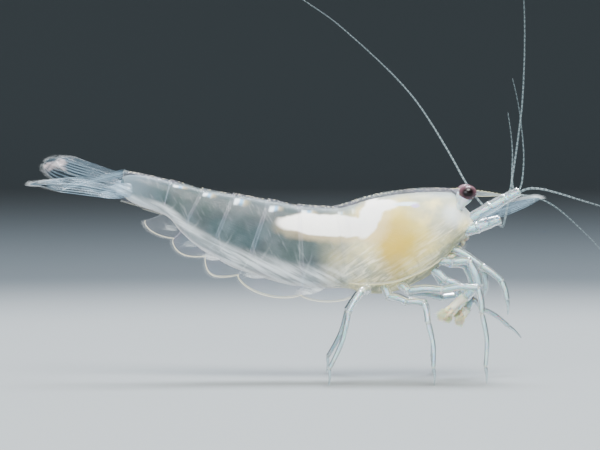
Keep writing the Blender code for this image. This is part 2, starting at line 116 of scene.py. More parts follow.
# Limbs: X, outward Y, Z and radius at each joint, body end first. The last is the tip.
LIMBS = {
    "leg3_right": (
        (5.95, 0.95, 5.80, 0.27), (6.45, 1.60, 5.42, 0.26), (8.40, 2.45, 5.52, 0.22),
        (10.52, 2.82, 5.66, 0.20), (10.74, 3.12, 4.20, 0.17), (10.94, 3.68, 1.05, 0.12),
        (10.97, 3.80, 0.00, 0.03),
    ),
    "leg4_right": (
        (4.98, 0.90, 5.70, 0.27), (5.30, 1.60, 5.06, 0.26), (6.30, 2.40, 4.80, 0.22),
        (7.30, 3.05, 4.78, 0.20), (7.52, 3.60, 3.70, 0.17), (7.83, 4.38, 1.05, 0.12),
        (7.88, 4.52, 0.00, 0.03),
    ),
    "leg5_right": (
        (4.10, 0.80, 5.75, 0.27), (3.98, 1.60, 5.42, 0.26), (3.66, 3.35, 5.48, 0.22),
        (2.86, 4.20, 4.32, 0.18), (1.71, 5.14, 1.05, 0.12), (1.66, 5.22, 0.00, 0.03),
    ),
    "leg3_left": (
        (5.95, 0.95, 5.80, 0.27), (6.70, 1.60, 5.10, 0.26), (8.60, 2.15, 4.80, 0.22),
        (10.36, 2.55, 4.78, 0.20), (11.14, 3.00, 4.06, 0.17), (12.74, 3.84, 2.98, 0.12),
        (13.60, 4.30, 2.20, 0.03),
    ),
    "leg4_left": (
        (4.98, 0.90, 5.70, 0.27), (5.36, 1.60, 5.00, 0.26), (6.50, 2.35, 4.58, 0.22),
        (7.60, 3.05, 4.46, 0.20), (7.80, 3.60, 3.36, 0.17), (8.10, 4.42, 1.00, 0.12),
        (8.12, 4.52, 0.00, 0.03),
    ),
    "leg5_left": (
        (4.10, 0.80, 5.75, 0.27), (3.99, 1.60, 5.36, 0.26), (3.80, 3.35, 5.24, 0.22),
        (2.90, 4.20, 3.98, 0.18), (1.70, 5.14, 1.00, 0.12), (1.62, 5.22, 0.00, 0.03),
    ),
    "maxilliped_right": (
        (9.00, 0.55, 7.95, 0.24), (10.80, 1.00, 6.90, 0.22), (12.00, 1.30, 6.02, 0.19),
        (12.34, 1.38, 4.90, 0.15), (12.38, 1.40, 3.95, 0.04),
    ),
    "maxilliped_left": (
        (9.00, 0.55, 7.95, 0.24), (10.30, 1.00, 7.30, 0.22), (11.10, 1.25, 6.40, 0.19),
        (11.20, 1.32, 5.40, 0.15), (11.00, 1.34, 4.70, 0.04),
    ),
}  # fmt: skip
# Claw-bearing limbs: the last three joints are the palm's root, the fingers' root and their tip.
CLAW_LIMBS = {
    "leg1_right": (
        (8.30, 0.80, 7.15, 0.26), (9.10, 1.30, 7.12, 0.24), (10.05, 1.78, 7.20, 0.24),
        (10.62, 1.98, 5.78, 0.27), (9.90, 1.96, 5.12, 0.30), (9.10, 1.92, 4.48, 0.24),
        (8.52, 1.90, 4.04, 0.06),
    ),
    "leg1_left": (
        (8.30, 0.80, 7.15, 0.26), (9.10, 1.25, 6.90, 0.24), (10.00, 1.70, 6.80, 0.24),
        (10.50, 1.88, 5.70, 0.27), (10.10, 1.88, 5.02, 0.30), (9.80, 1.86, 4.42, 0.24),
        (9.60, 1.84, 3.92, 0.06),
    ),
    "leg2_right": (
        (7.90, 0.70, 6.70, 0.25), (8.70, 1.15, 6.05, 0.23), (9.60, 1.20, 5.65, 0.22),
        (10.20, 1.18, 4.85, 0.22), (10.02, 1.16, 4.40, 0.24), (9.84, 1.15, 4.08, 0.20),
        (9.60, 1.14, 3.70, 0.05),
    ),
    "leg2_left": (
        (7.90, 0.70, 6.70, 0.25), (8.50, 1.15, 5.85, 0.23), (9.30, 1.20, 5.50, 0.22),
        (9.75, 1.16, 4.70, 0.22), (9.52, 1.15, 4.34, 0.24), (9.32, 1.14, 4.08, 0.20),
        (9.00, 1.12, 3.74, 0.05),
    ),
}  # fmt: skip

ANTENNULE_STALK = (
    (10.10, 0.42, 9.58, 0.34), (11.40, 0.58, 10.36, 0.34), (12.24, 0.72, 10.86, 0.28),
    (13.06, 0.80, 11.28, 0.23),
)  # fmt: skip
ANTENNA_BASE = (
    (9.85, 0.72, 8.98, 0.36), (10.55, 0.90, 9.18, 0.36), (11.25, 1.06, 9.42, 0.30),
    (11.90, 1.18, 9.62, 0.22),
)  # fmt: skip
FEELERS = {
    "antenna_right": (
        (11.78, 1.14, 9.57), (12.02, 1.76, 9.26), (12.16, 2.20, 9.72), (12.40, 2.22, 11.00),
        (12.74, 2.22, 13.20), (12.98, 2.30, 15.00), (13.17, 2.40, 16.80), (13.28, 2.50, 19.75),
        (13.22, 2.62, 22.70), (12.86, 2.80, 26.20), (12.10, 3.00, 29.80),
    ),
    "antenna_left": (
        (11.78, 1.14, 9.57), (12.02, 1.76, 9.26), (11.80, 2.24, 9.70), (10.98, 2.66, 10.56),
        (10.12, 3.20, 11.75), (9.20, 4.00, 13.44), (8.17, 5.00, 15.21), (7.16, 6.00, 16.75),
        (6.14, 7.00, 17.99), (5.11, 8.00, 19.06), (3.51, 9.40, 20.58), (1.89, 10.80, 21.99),
        (0.00, 12.00, 23.30),
    ),
    "antennule_outer_right": (
        (12.95, 1.06, 11.24), (13.60, 1.14, 11.50), (14.20, 1.18, 11.51), (15.15, 1.30, 11.31),
        (16.70, 1.50, 10.84), (18.40, 1.66, 10.32), (20.40, 1.84, 9.60),
    ),
    "antennule_inner_right": (
        (13.00, 0.56, 11.20), (13.28, 0.46, 11.90), (13.38, 0.50, 13.50), (13.21, 0.60, 15.36),
        (13.00, 0.70, 16.73), (12.68, 0.80, 18.10),
    ),
    "antennule_outer_left": (
        (12.90, 1.06, 11.16), (12.78, 1.16, 12.10), (12.82, 1.20, 13.48), (12.73, 1.30, 14.75),
        (12.55, 1.40, 16.07),
    ),
    "antennule_inner_left": (
        (13.00, 0.56, 11.10), (13.84, 0.54, 11.00), (14.76, 0.80, 10.72), (15.80, 1.00, 10.05),
        (17.53, 1.50, 8.46), (18.53, 1.80, 7.36),
    ),
}  # fmt: skip
SCALE_ROOT = (10.60, 1.10, 9.70)
SCALE_TIP = (14.24, 1.72, 10.94)
SCALE_TILT = 38.0

FAN_ROOT = (-10.40, 0.0, 11.68)
FAN_YAW, FAN_PITCH, FAN_ROLL = 12.0, 3.0, 15.0
# How the thin blades themselves lie in the solids' room: hang, lift and splay in degrees, then
# drop and further reach in mm.
HANG = {
    "telson": (0.0, -8.0, 0.0, -0.05, 0.0),
    "uropod_outer_right": (34.0, 2.0, 0.0, -0.10, 0.0),
    "uropod_inner_right": (30.0, -2.5, 0.0, 0.00, 0.0),
    "uropod_outer_left": (-26.0, -2.5, -4.0, 0.00, 0.35),
    "uropod_inner_left": (-14.0, 0.0, 0.0, 0.00, 0.0),
}
BLADES = {  # side; splay, lift and cup in degrees; root offset out and up; length and width
    "telson": (0.0, 0.0, -9.0, 0.0, 0.0, 0.74, 4.10, 1.05),
    "uropod_inner_right": (1.0, 15.0, 4.0, 17.0, 0.46, 0.00, 4.95, 1.35),
    "uropod_inner_left": (-1.0, 15.0, 4.0, 17.0, 0.46, 0.00, 4.95, 1.35),
    "uropod_outer_right": (1.0, 27.0, 5.0, 17.0, 0.50, -0.66, 5.80, 1.80),
    "uropod_outer_left": (-1.0, 24.0, 5.0, 17.0, 0.50, -0.66, 5.90, 1.80),
}


def linear(hex_colour):
    """An sRGB hex colour as linear red, green and blue."""
    shares = [int(hex_colour[i : i + 2], 16) / 255 for i in (1, 3, 5)]
    return tuple(c / 12.92 if c <= 0.04045 else ((c + 0.055) / 1.055) ** 2.4 for c in shares)


def tint(name, description, hex_colour):
    """A colour for the user to change."""
    return FloatVectorProperty(
        name=name, description=description, subtype="COLOR", size=3, min=0, max=1,
        default=linear(hex_colour),
    )  # fmt: skip


def length(name, description, millimetres):
    """A size for the user to change."""
    return FloatProperty(
        name=name, description=description, unit="LENGTH", precision=5, min=0,
        default=millimetres * MM,
    )  # fmt: skip


class ShrimpSizes(bpy.types.PropertyGroup):
    """Thicknesses and lengths of the clear and hairy parts"""

    plate_thickness: length("Plate thickness", "Wall of the clear plates over back and head", 0.05)
    plate_clearance: length("Plate clearance", "Space between the flesh and the clear plates", 0.14)
    fin_thickness: length("Fin thickness", "Wall of the tail fan's blades and the scales", 0.04)
    antenna_width: length("Antenna width", "Thickness of each long feeler at its root", 0.17)
    antennule_width: length("Antennule width", "Thickness of each short feeler at its root", 0.15)
    feeler_tip_width: length("Feeler tip width", "Thickness of a feeler at its tip", 0.06)
    feeler_ring: length("Feeler ring", "Length of one ring of a feeler", 0.28)
    bristle_width: length("Bristle width", "Thickness of a bristle at its root", 0.014)
    fringe_length: length("Fringe length", "Longest hairs along the tail fan and scales", 0.55)


class ShrimpColours(bpy.types.PropertyGroup):
    """Colours of the animal"""

    cuticle: tint("Cuticle", "Clear plates away from their edges", "#D3E2E9")
    rim: tint("Rim", "Thickened edges of the plates", "#EFE8BC")
    flesh: tint("Flesh", "Muscle of the tail seen through the plates", "#283A38")
    streak: tint("Streak", "Bright bands of muscle and the belly line", "#D0D8DA")
    head: tint("Head", "Flesh of the head and breast", "#EDE09A")
    pearl: tint("Pearl", "White ovary saddle behind the head", "#FFFEF6")
    gland: tint("Gland", "Yellow gland under the shield", "#BEA000")
    limb: tint("Limb", "Clear skin of legs and stalks", "#C6DBE0")
    muscle: tint("Limb muscle", "Milky core of legs and stalks", "#E6EEF0")
    eye: tint("Eye", "Outer part of the faceted eye", "#5C424A")
    pupil: tint("Pupil", "Dark middle of the eye", "#0B0708")
    feeler: tint("Feeler", "Ringed feelers", "#93A6AB")


class ShrimpStudio(bpy.types.PropertyGroup):
    """Paper, lights, camera and the seed of the hairs"""

    floor: tint("Floor", "Plain pale studio floor", "#7F8587")
    backdrop: tint("Surround", "Paper away from the animal", "#40494E")
    key_power: FloatProperty(
        name="Key light", description="Power of the overhead soft light", default=3.2, min=0,
        unit="POWER",
    )  # fmt: skip
    fill_power: FloatProperty(
        name="Fill light", description="Power of the soft light by the camera", default=1.2,
        min=0, unit="POWER",
    )  # fmt: skip
    rim_power: FloatProperty(
        name="Rim light", description="Power of the light behind the animal", default=2.0, min=0,
        unit="POWER",
    )  # fmt: skip
    camera_height: FloatProperty(
        name="Camera elevation", description="Angle of the camera above level",
        default=math.radians(2.0), subtype="ANGLE", unit="ROTATION",
    )  # fmt: skip
    camera_distance: length("Camera distance", "From the camera to the animal", 200.0)
    seed: IntProperty(name="Seed", description="Start of the random spread of hairs", default=7)


# ---------------------------------------------------------------- modelling helpers


def world(point):
    """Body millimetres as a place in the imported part's frame."""
    return ORIGIN + Vector(point) * MM


def pick(piece):
    """Makes one piece the only selected and active one."""
    bpy.ops.object.select_all(action="DESELECT")
    piece.select_set(True)
    bpy.context.view_layer.objects.active = piece


def edit(piece, *steps):
    """Runs edit-mode operators on the whole of a piece; a step is an operator and its settings."""
    pick(piece)
    bpy.ops.object.mode_set(mode="EDIT")
    bpy.ops.mesh.select_all(action="SELECT")
    for step, settings in steps:
        step(**settings)
    bpy.ops.object.mode_set(mode="OBJECT")


def modify(piece, kind, **settings):
    """Adds a modifier and applies it."""
    pick(piece)
    made = piece.modifiers.new(kind.title(), kind)
    for name, value in settings.items():
        setattr(made, name, value)
    bpy.ops.object.modifier_apply(modifier=made.name)
    return piece


def weld(piece):
    """Closes seams and poles and turns the faces outwards."""
    edit(
        piece,
        (bpy.ops.mesh.remove_doubles, {"threshold": 0.0005 * MM}),
        (bpy.ops.mesh.delete_loose, {}),
        (bpy.ops.mesh.normals_make_consistent, {"inside": False}),
    )
    return piece


def merge(piece, threshold=0.0005):
    """Merges points that lie on one another, within a threshold in millimetres."""
    edit(piece, (bpy.ops.mesh.remove_doubles, {"threshold": threshold * MM}))


def smooth(piece, angle=50):
    """Shades a piece smooth, apart from edges sharper than the angle in degrees."""
    pick(piece)
    bpy.ops.object.shade_smooth_by_angle(angle=math.radians(angle))
    return piece


def sheet(name, steps, place, finish):
    """A grid primitive laid over place(u, v), with u and v from 0 to 1 kept as its UV map."""
    bpy.ops.object.select_all(action="DESELECT")
    bpy.ops.mesh.primitive_grid_add(x_subdivisions=steps[0], y_subdivisions=steps[1], size=1)
    piece = bpy.context.object
    piece.name = name
    for vertex in piece.data.vertices:
        vertex.co = world(place(vertex.co.x + 0.5, vertex.co.y + 0.5))
    piece.data.materials.append(finish)
    return piece


def wall(piece, thickness, offset=-1.0):
    """Gives an open sheet a closed wall, inwards from its outer face."""
    modify(piece, "SOLIDIFY", thickness=thickness, offset=offset, use_even_offset=False)
    return smooth(piece)


def join(name, pieces):
    """Joins pieces into the first of them."""
    bpy.ops.object.select_all(action="DESELECT")
    for piece in pieces:
        piece.select_set(True)
    bpy.context.view_layer.objects.active = pieces[0]
    if len(pieces) > 1:
        bpy.ops.object.join()
    pieces[0].name = name
    return pieces[0]


def fit(piece, slot, *nodes):
    """Rides a finished piece on the one body and stands it in for its solids."""
    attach(piece, "root")
    if nodes:
        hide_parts(*nodes)
    return piece


def between(rows, place):
    """Smooth value of a table of rows at a place counted in rows; past its ends it runs on."""
    last = len(rows) - 1
    i = min(max(int(math.floor(place)), 0), last - 1)
    s = place - i
    if s < 0 or s > 1:
        return [a + (b - a) * s for a, b in zip(rows[i], rows[i + 1])]
    near = [rows[min(max(j, 0), last)] for j in (i - 1, i, i + 1, i + 2)]
    return [
        0.5 * (2 * b + (c - a) * s + (2 * a - 5 * b + 4 * c - d) * s * s
               + (3 * b - a - 3 * c + d) * s**3)
        for a, b, c, d in zip(*near)
    ]  # fmt: skip


def ramp(value, start, end):
    """0 before start, 1 after end, smooth between."""
    share = min(max((value - start) / (end - start), 0.0), 1.0)
    return share * share * (3 - 2 * share)


def lay_line(points, count):
    """Evenly spaced places on a smooth line, each with two directions across it and the one ahead,
    and the line's length."""
    points = [Vector(p[:3]) for p in points]
    spans = len(points) - 1
    pieces = 24 * spans  # short straight lengths that stand for the curve
    fine = [Vector(between(points, spans * i / pieces)) for i in range(pieces + 1)]
    travelled = [0.0]
    for a, b in zip(fine, fine[1:]):
        travelled.append(travelled[-1] + (b - a).length)
    places = []
    j = 0
    for i in range(count + 1):
        goal = travelled[-1] * i / count
        while j < len(fine) - 2 and travelled[j + 1] < goal:
            j += 1
        share = (goal - travelled[j]) / max(travelled[j + 1] - travelled[j], 1e-9)
        places.append(fine[j].lerp(fine[j + 1], min(share, 1.0)))
    frames = []
    across = None
    for i, place in enumerate(places):
        ahead = (places[min(i + 1, count)] - places[max(i - 1, 0)]).normalized()
        if across is None:
            across = ahead.orthogonal()
        across = (across - ahead * across.dot(ahead)).normalized()
        frames.append((place, across.copy(), ahead.cross(across), ahead))
    return frames, travelled[-1]


def tube(name, points, radius, rings, sides, finish, flat=1.0, ease=True):
    """A closed round piece along a smooth line; radius(share) gives its radius. With ease its
    rings lie closer together at both ends, so that they round off well."""
    fine = 8 * rings
    frames, _ = lay_line(points, fine)

    def place(u, v):
        share = 0.5 - 0.5 * math.cos(math.pi * u) if ease else u
        centre, across, up, _ = frames[round(share * fine)]
        turn = 2 * math.pi * v
        return centre + (across * math.cos(turn) + up * (flat * math.sin(turn))) * radius(share)

    return weld(sheet(name, (rings, sides), place, finish))


def bone(start, end, neck=0.12, flare=0.14):
    """Radius along one limb segment: rounded ends, a slight neck first and a flared joint last."""

    def radius(share):
        cap = min(share, 1 - share) / 0.05
        round_off = math.sqrt(1 - (1 - min(cap, 1.0)) ** 2)
        body = start + (end - start) * share
        body *= 1 - neck * (1 - ramp(share, 0.0, 0.18)) + flare * ramp(share, 0.80, 0.97)
        return max(body * round_off, 0.0)

    return radius


def pebble(size, taper):
    """Radius along a short lobe with round ends, thinner towards its tip."""
    return lambda share: size * (1 - taper * share) * math.sqrt(max(0.0, 1 - (2 * share - 1) ** 4))


@functools.cache
def bristle():
    """The one hair that every fringe repeats: a three-sided cone, a unit long and wide, with the
    cuts that let it bend."""
    bpy.ops.object.select_all(action="DESELECT")
    bpy.ops.mesh.primitive_cone_add(
        vertices=3, radius1=0.5, radius2=0.08, depth=1, end_fill_type="NGON", location=(0, 0, 0.5)
    )
    hair = bpy.context.object
    bpy.ops.object.transform_apply(location=True)
    for height in (0.35, 0.7):
        edit(hair, (bpy.ops.mesh.bisect, {"plane_co": (0, 0, height), "plane_no": (0, 0, 1)}))
    points = np.array([v.co for v in hair.data.vertices])
    faces = [tuple(p.vertices) for p in hair.data.polygons]
    bpy.data.objects.remove(hair)
    return points, faces


def plant(name, places, width, finish):
    """Copies the bristle to each place and joins the copies; a place is root, reach and bend."""
    points, faces = bristle()
    rise = points[:, 2:3]
    copies, all_faces = [], []
    for root, reach, bend in places:
        ahead = reach.normalized()
        side = ahead.cross(bend)
        side = side.normalized() if side.length > 1e-9 else ahead.orthogonal()
        laid = (
            np.array(root)
            + points[:, 0:1] * width * np.array(side)
            + points[:, 1:2] * width * np.array(side.cross(ahead))
            + rise * np.array(reach)
            + rise**2 * np.array(bend)
        )
        laid[:, 2] = laid[:, 2].clip(0.01)  # a hair at the ground lies along it
        start = len(copies) * len(points)
        copies.append(laid)
        all_faces += [tuple(start + i for i in face) for face in faces]
    mesh = bpy.data.meshes.new(name)
    corners = np.concatenate(copies) * MM + np.array(ORIGIN)
    mesh.from_pydata(corners.tolist(), [], all_faces)
    mesh.materials.append(finish)
    mesh.shade_smooth()
    piece = bpy.data.objects.new(name, mesh)
    bpy.context.collection.objects.link(piece)
    return piece


# ---------------------------------------------------------------- materials
# Pattern scales are written as so many to the millimetre, such as 1.2 / MM.


def add_node(tree, kind, inputs=(), result=None, **settings):
    """Adds one node with its settings and gives back the socket of its result. Inputs come by
    name, or in the order in which the node shows them; each is a value or a socket to link."""
    made = tree.nodes.new("ShaderNode" + kind)
    for name, value in settings.items():
        setattr(made, name, value)
    if isinstance(inputs, dict):
        pairs = [(made.inputs[name], value) for name, value in inputs.items()]
    else:
        pairs = zip([socket for socket in made.inputs if socket.enabled], inputs)
    for socket, value in pairs:
        if isinstance(value, bpy.types.NodeSocket):
            tree.links.new(value, socket)
        elif socket.type == "RGBA":
            socket.default_value = (*value, 1.0)
        else:
            socket.default_value = value
    return next(s for s in made.outputs if s.enabled and result in (None, s.name))


def start_material(name):
    """An empty node material with only its output."""
    made = bpy.data.materials.new(name)
    made.use_nodes = True
    tree = made.node_tree
    tree.nodes.remove(tree.nodes["Principled BSDF"])
    return made, tree


def finish_material(tree, inputs):
    """Joins the finished patterns to the shader and the shader to the output."""
    shader = add_node(tree, "BsdfPrincipled", inputs)
    tree.links.new(shader, tree.nodes["Material Output"].inputs[0])


def piece_shares(tree):
    """How far along and across its piece a point lies, from 0 to 1, by the piece's own UV map."""
    grid = add_node(tree, "UVMap", uv_map="UVMap")
    along, across, _ = add_node(tree, "SeparateXYZ", [grid]).node.outputs
    return along, across


def mask(tree, *parts):
    """White where all of its parts are. A part is a number, a socket, or a socket with the value
    where it is black, the value where it is white, and how white it gets if not fully."""
    whole = None
    for part in parts:
        if isinstance(part, tuple):
            value, black, white, *most = part
            ends = (value, black, white, 0.0, *(most or [1.0]))
            part = add_node(tree, "MapRange", ends, interpolation_type="SMOOTHSTEP")
        if whole is None:
            whole = part
        else:
            whole = add_node(tree, "Math", (whole, part), operation="MULTIPLY")
    return whole


def coat(tree, below, above, *parts):
    """Lays a coat of colour over what is below, where all the parts of its mask are white."""
    return add_node(tree, "Mix", (mask(tree, *parts), below, above), data_type="RGBA")


def apart(tree, value, centre):
    """How far a value lies from a centre, either way."""
    gap = add_node(tree, "Math", (value, centre), operation="SUBTRACT")
    return add_node(tree, "Math", [gap], operation="ABSOLUTE")


def grade(shades, stops):
    """Gives a colour ramp its stops, each a place from 0 to 1 and a colour."""
    ramp = shades.node.color_ramp.elements
    for end, (place, colour) in zip(ramp, (stops[0], stops[-1])):
        end.position, end.color = place, (*colour, 1.0)
    for place, colour in stops[1:-1]:
        ramp.new(place).color = (*colour, 1.0)


def streaks(tree, place, angle, along, across, bent=0.0):
    """Noise drawn out into streaks, sized in millimetres, at an angle seen from the side."""
    turned = add_node(
        tree, "Mapping",
        {"Vector": place, "Location": ORIGIN, "Rotation": (0, math.radians(angle), 0),
         "Scale": (along * MM, 0.6 * MM, across * MM)},
        vector_type="TEXTURE",
    )  # fmt: skip
    inputs = {"Vector": turned, "Scale": 1.0, "Detail": 4.0, "Distortion": bent}
    return add_node(tree, "TexNoise", inputs)


def blob(tree, place, centre, radii, tilt, ragged):
    """How far a place lies from the middle of a slightly ragged oval seen from the side, 1 being
    its edge. The middle's X and Z, the radii and the raggedness are in millimetres."""
    wobble = add_node(tree, "TexNoise", {"Vector": place, "Scale": 0.9 / MM, "Detail": 4.0}, "Color")
    shift = add_node(tree, "VectorMath", (wobble, (0.5, 0.5, 0.5)), operation="SUBTRACT")
    moved = add_node(tree, "VectorMath", (shift, (ragged * MM,) * 3, place), operation="MULTIPLY_ADD")
    middle = world((centre[0], 0, centre[1]))
    turned = add_node(
        tree, "Mapping",
        {"Vector": moved, "Location": middle, "Rotation": (0, math.radians(tilt), 0)},
        vector_type="TEXTURE",
    )  # fmt: skip
    scale = (1 / (radii[0] * MM), 0.0, 1 / (radii[1] * MM))
    sized = add_node(tree, "VectorMath", (turned, scale), operation="MULTIPLY")
    return add_node(tree, "VectorMath", [sized], operation="LENGTH")


def clear_cuticle(name, colours, clear, rims, rim_shares, end_rims=0.3, seam=0.045):
    """Chitin cuticle, hardened by the animal in thin clear sheets: a wet gloss, a faint milky
    body, and edges that look white because the sheet is doubled there. The rim shares say how
    many rim widths the sheet measures across and along."""
    made, tree = start_material(name)
    place = add_node(tree, "TexCoord", result="Object")
    along, across = piece_shares(tree)
    edges = []
    for share, rim_share, most in zip((across, along), rim_shares, (1.0, end_rims)):
        inwards = add_node(tree, "Math", (share, 0.5), operation="PINGPONG")
        counted = add_node(tree, "Math", (inwards, rim_share), operation="MULTIPLY")
        edges.append(mask(tree, (counted, 1.0, 0.2, most)))
    rim = add_node(tree, "Math", edges, operation="MAXIMUM")
    # Milky clouding of about 0.8 mm, coarser than the real pigment cells so that it shows.
    cloud = add_node(tree, "TexNoise", {"Vector": place, "Scale": 1.2 / MM, "Detail": 3.0})
    haze = add_node(tree, "MapRange", (cloud, 0.35, 0.7, 0.75 * clear, 1.45 * clear))
    # Cream pigment cells in a row along the middle of the back, drawn 0.15 mm across.
    cells = add_node(tree, "TexVoronoi", {"Vector": place, "Scale": 5.2 / MM})
    dots = mask(tree, (cells, 0.42, 0.2), 0.95)
    beaded = add_node(tree, "Math", (dots, 0.05), operation="ADD")
    line = mask(tree, (apart(tree, across, 0.5), seam, 0.25 * seam), beaded)
    rim = add_node(tree, "Math", (rim, line), operation="MAXIMUM")
    alpha = add_node(tree, "Mix", (rim, haze, rims), data_type="FLOAT")
    # A thin film of water splits light: a faint blue to violet drift over patches of 2 mm.
    film = add_node(tree, "TexNoise", {"Vector": place, "Scale": 0.48 / MM, "Detail": 1.0})
    drift = add_node(tree, "ValToRGB", [film])
    grade(drift, ((0.38, linear("#BFD9F4")), (0.46, linear("#D9D2EC")), (0.62, colours.cuticle)))
    pits = add_node(tree, "TexNoise", {"Vector": place, "Scale": 9 / MM, "Detail": 2.0})
    bump = add_node(tree, "Bump", {"Strength": 0.10, "Distance": 0.02 * MM, "Height": pits})
    finish_material(
        tree,
        {
            "Base Color": coat(tree, drift, colours.rim, rim),
            "Alpha": alpha,
            "Roughness": 0.16,
            "IOR": 1.5,
            "Normal": bump,
        },
    )
    return made


def tail_muscle(tree, colours, place, along, off, cloud):
    """Clear dark muscle, milky towards the belly in long streaks. Along counts the joints, and
    off runs from 0 on the belly to 0.5 on the back."""
    tail = coat(tree, colours.flesh, linear("#5E6A6C"), (cloud, 0.42, 0.68, 0.35))
    long_streaks = mask(tree, (streaks(tree, place, 28, 2.4, 0.22), 0.36, 0.60, 0.60))
    streaky = add_node(tree, "Math", (long_streaks, 0.36), operation="ADD")
    tail = coat(tree, tail, colours.streak, (off, 0.25, 0.15), streaky)
    tail = coat(tree, tail, linear("#8FA8BA"), (along, 16.0, 16.9, 0.30))
    tail = coat(tree, tail, linear("#8D9FA8"), (off, 0.40, 0.47), 0.12)
    steep = streaks(tree, place, 62, 0.9, 0.14)
    tail = coat(tree, tail, colours.streak, (off, 0.08, 0.2), (steep, 0.56, 0.78, 0.12))
    # Tendons: two fine pale lines spread upwards from each joint, drawn 0.1 mm wide.
    above = add_node(tree, "Math", (off, 0.16), operation="SUBTRACT")
    for lean in (-2.0, 1.6):
        leaning = add_node(tree, "Math", (above, lean, along), operation="MULTIPLY_ADD")
        wavy = add_node(tree, "Math", (cloud, 0.12, leaning), operation="MULTIPLY_ADD")
        near = add_node(tree, "Math", (wavy, 0.5), operation="PINGPONG")
        line = (near, 0.045, 0.0, 0.13)
        tail = coat(tree, tail, colours.streak, line, (off, 0.30, 0.20), (off, 0.08, 0.14))
    # The nerve cord and its muscle make the belly pale and faintly pink. The paint is also lifted
    # almost to white as painted light, against the shade that falls on the underside.
    tail = coat(tree, tail, linear("#EDE6E2"), (off, 0.12, 0.03, 0.6))
    # Painted highlight under each joint of the back, in split colours: a short white and blue fleck,
    # yellow behind it.
    step = add_node(tree, "Math", [along], operation="FRACT")
    ragged = add_node(tree, "Math", (cloud, 0.10, off), operation="MULTIPLY_ADD")
    band = apart(tree, ragged, 0.475)
    # The fleck colours are a painted reflection of a lamp, not a pigment.
    painted_glint = coat(tree, linear("#EAF8FF"), linear("#C9B98A"), (step, 0.82, 0.62))
    painted_glint = coat(tree, painted_glint, linear("#7FB8E0"), (apart(tree, step, 0.76), 0.09, 0.02))
    return coat(
        tree, tail, painted_glint,
        (step, 0.45, 0.85), (step, 0.99, 0.93), (band, 0.026, 0.004, 0.9), (along, 16.5, 16.1),
    )  # fmt: skip


def head_flesh(tree, colours, place, along, off, cloud):
    """Cream over gills, grey and clearer under the back, with strands rising forwards."""
    head = coat(tree, linear("#A6AA94"), colours.head, (cloud, 0.36, 0.66))
    strands = streaks(tree, place, -34, 1.5, 0.20, 0.8)
    head = coat(tree, head, linear("#FFF8D6"), (off, 0.34, 0.2), (strands, 0.44, 0.66, 0.85))
    folds = streaks(tree, place, 66, 0.6, 0.18, 0.8)
    head = coat(tree, head, linear("#7D7550"), (off, 0.3, 0.1), (folds, 0.50, 0.70, 0.45))
    head = coat(tree, head, linear("#74858B"), (off, 0.39, 0.47, 0.8))
    return coat(tree, head, linear("#E6E1CB"), (along, 1.4, 0.2, 0.8))


def milky_flesh(colours):
    """Muscle, gills and ovary under a clear skin: milky, lit from within, with soft-edged
    patches. Light spreads about half a millimetre inside it, and its wet skin gives the gloss."""
    made, tree = start_material("milky flesh under cuticle")
    place = add_node(tree, "TexCoord", result="Object")
    length, girth = piece_shares(tree)
    along = add_node(tree, "Math", (length, FLESH_SPANS), operation="MULTIPLY")  # whole at joints
    off = apart(tree, girth, 0.5)
    cloud = add_node(tree, "TexNoise", {"Vector": place, "Scale": 0.65 / MM, "Detail": 5.0})
    tail = tail_muscle(tree, colours, place, along, off, cloud)
    head = head_flesh(tree, colours, place, along, off, cloud)
    ahead = add_node(tree, "SeparateXYZ", [place])
    colour = coat(tree, tail, head, (ahead, world((0.6, 0, 0)).x, world((4.6, 0, 0)).x))
    # Patches: middle, radii, tilt, raggedness, where the edge starts and ends, strength, colour.
    for centre, radii, tilt, ragged, edge, strength, shade in (
        ((9.3, 10.0), (0.9, 0.8), 0, 0.6, (1.2, 0.3), 0.75, linear("#DCE6E8")),
        ((6.4, 8.9), (1.9, 2.0), 10, 1.0, (1.2, 0.2), 0.7, linear("#CBB53A")),
        ((5.75, 8.25), (1.6, 2.35), 8, 1.8, (1.3, 0.1), 0.95, colours.gland),
        ((1.6, 9.15), (3.3, 0.95), 3, 0.8, (1.1, 0.6), 0.55, linear("#CDB98C")),
        ((4.3, 9.45), (1.25, 1.5), 0, 0.8, (1.1, 0.6), 0.55, linear("#D6BE84")),
        ((1.5, 9.34), (2.95, 0.68), 3, 0.55, (1.08, 0.86), 1.0, colours.pearl),
        ((4.15, 9.80), (0.62, 1.35), 24, 0.7, (1.08, 0.78), 1.0, colours.pearl),
        ((4.9, 10.45), (1.0, 0.42), -10, 0.6, (1.08, 0.72), 1.0, colours.pearl),
        # The last two patches are painted highlights in split colours, pale blue and violet, on the
        # back before the saddle.
        ((6.3, 10.60), (0.9, 0.13), -4, 0.25, (1.1, 0.5), 0.9, linear("#DDF2FB")),
        ((6.9, 10.52), (0.35, 0.14), 0, 0.25, (1.1, 0.5), 0.7, linear("#B9A8E6")),
    ):
        inside = blob(tree, place, centre, radii, tilt, ragged)
        colour = coat(tree, colour, shade, (inside, *edge, strength))
    fibres = streaks(tree, place, 24, 0.8, 0.10)
    bump = add_node(tree, "Bump", {"Strength": 0.2, "Distance": 0.05 * MM, "Height": fibres})
    finish_material(
        tree,
        {
            "Base Color": colour,
            "Roughness": 0.5,
            "Specular IOR Level": 0.12,
            "Subsurface Weight": 0.35,
            "Subsurface Radius": (1.0, 1.0, 0.85),
            "Subsurface Scale": 0.3 * MM,
            "Coat Weight": 0.04,
            "Coat Roughness": 0.08,
            "Normal": bump,
        },
    )
    return made


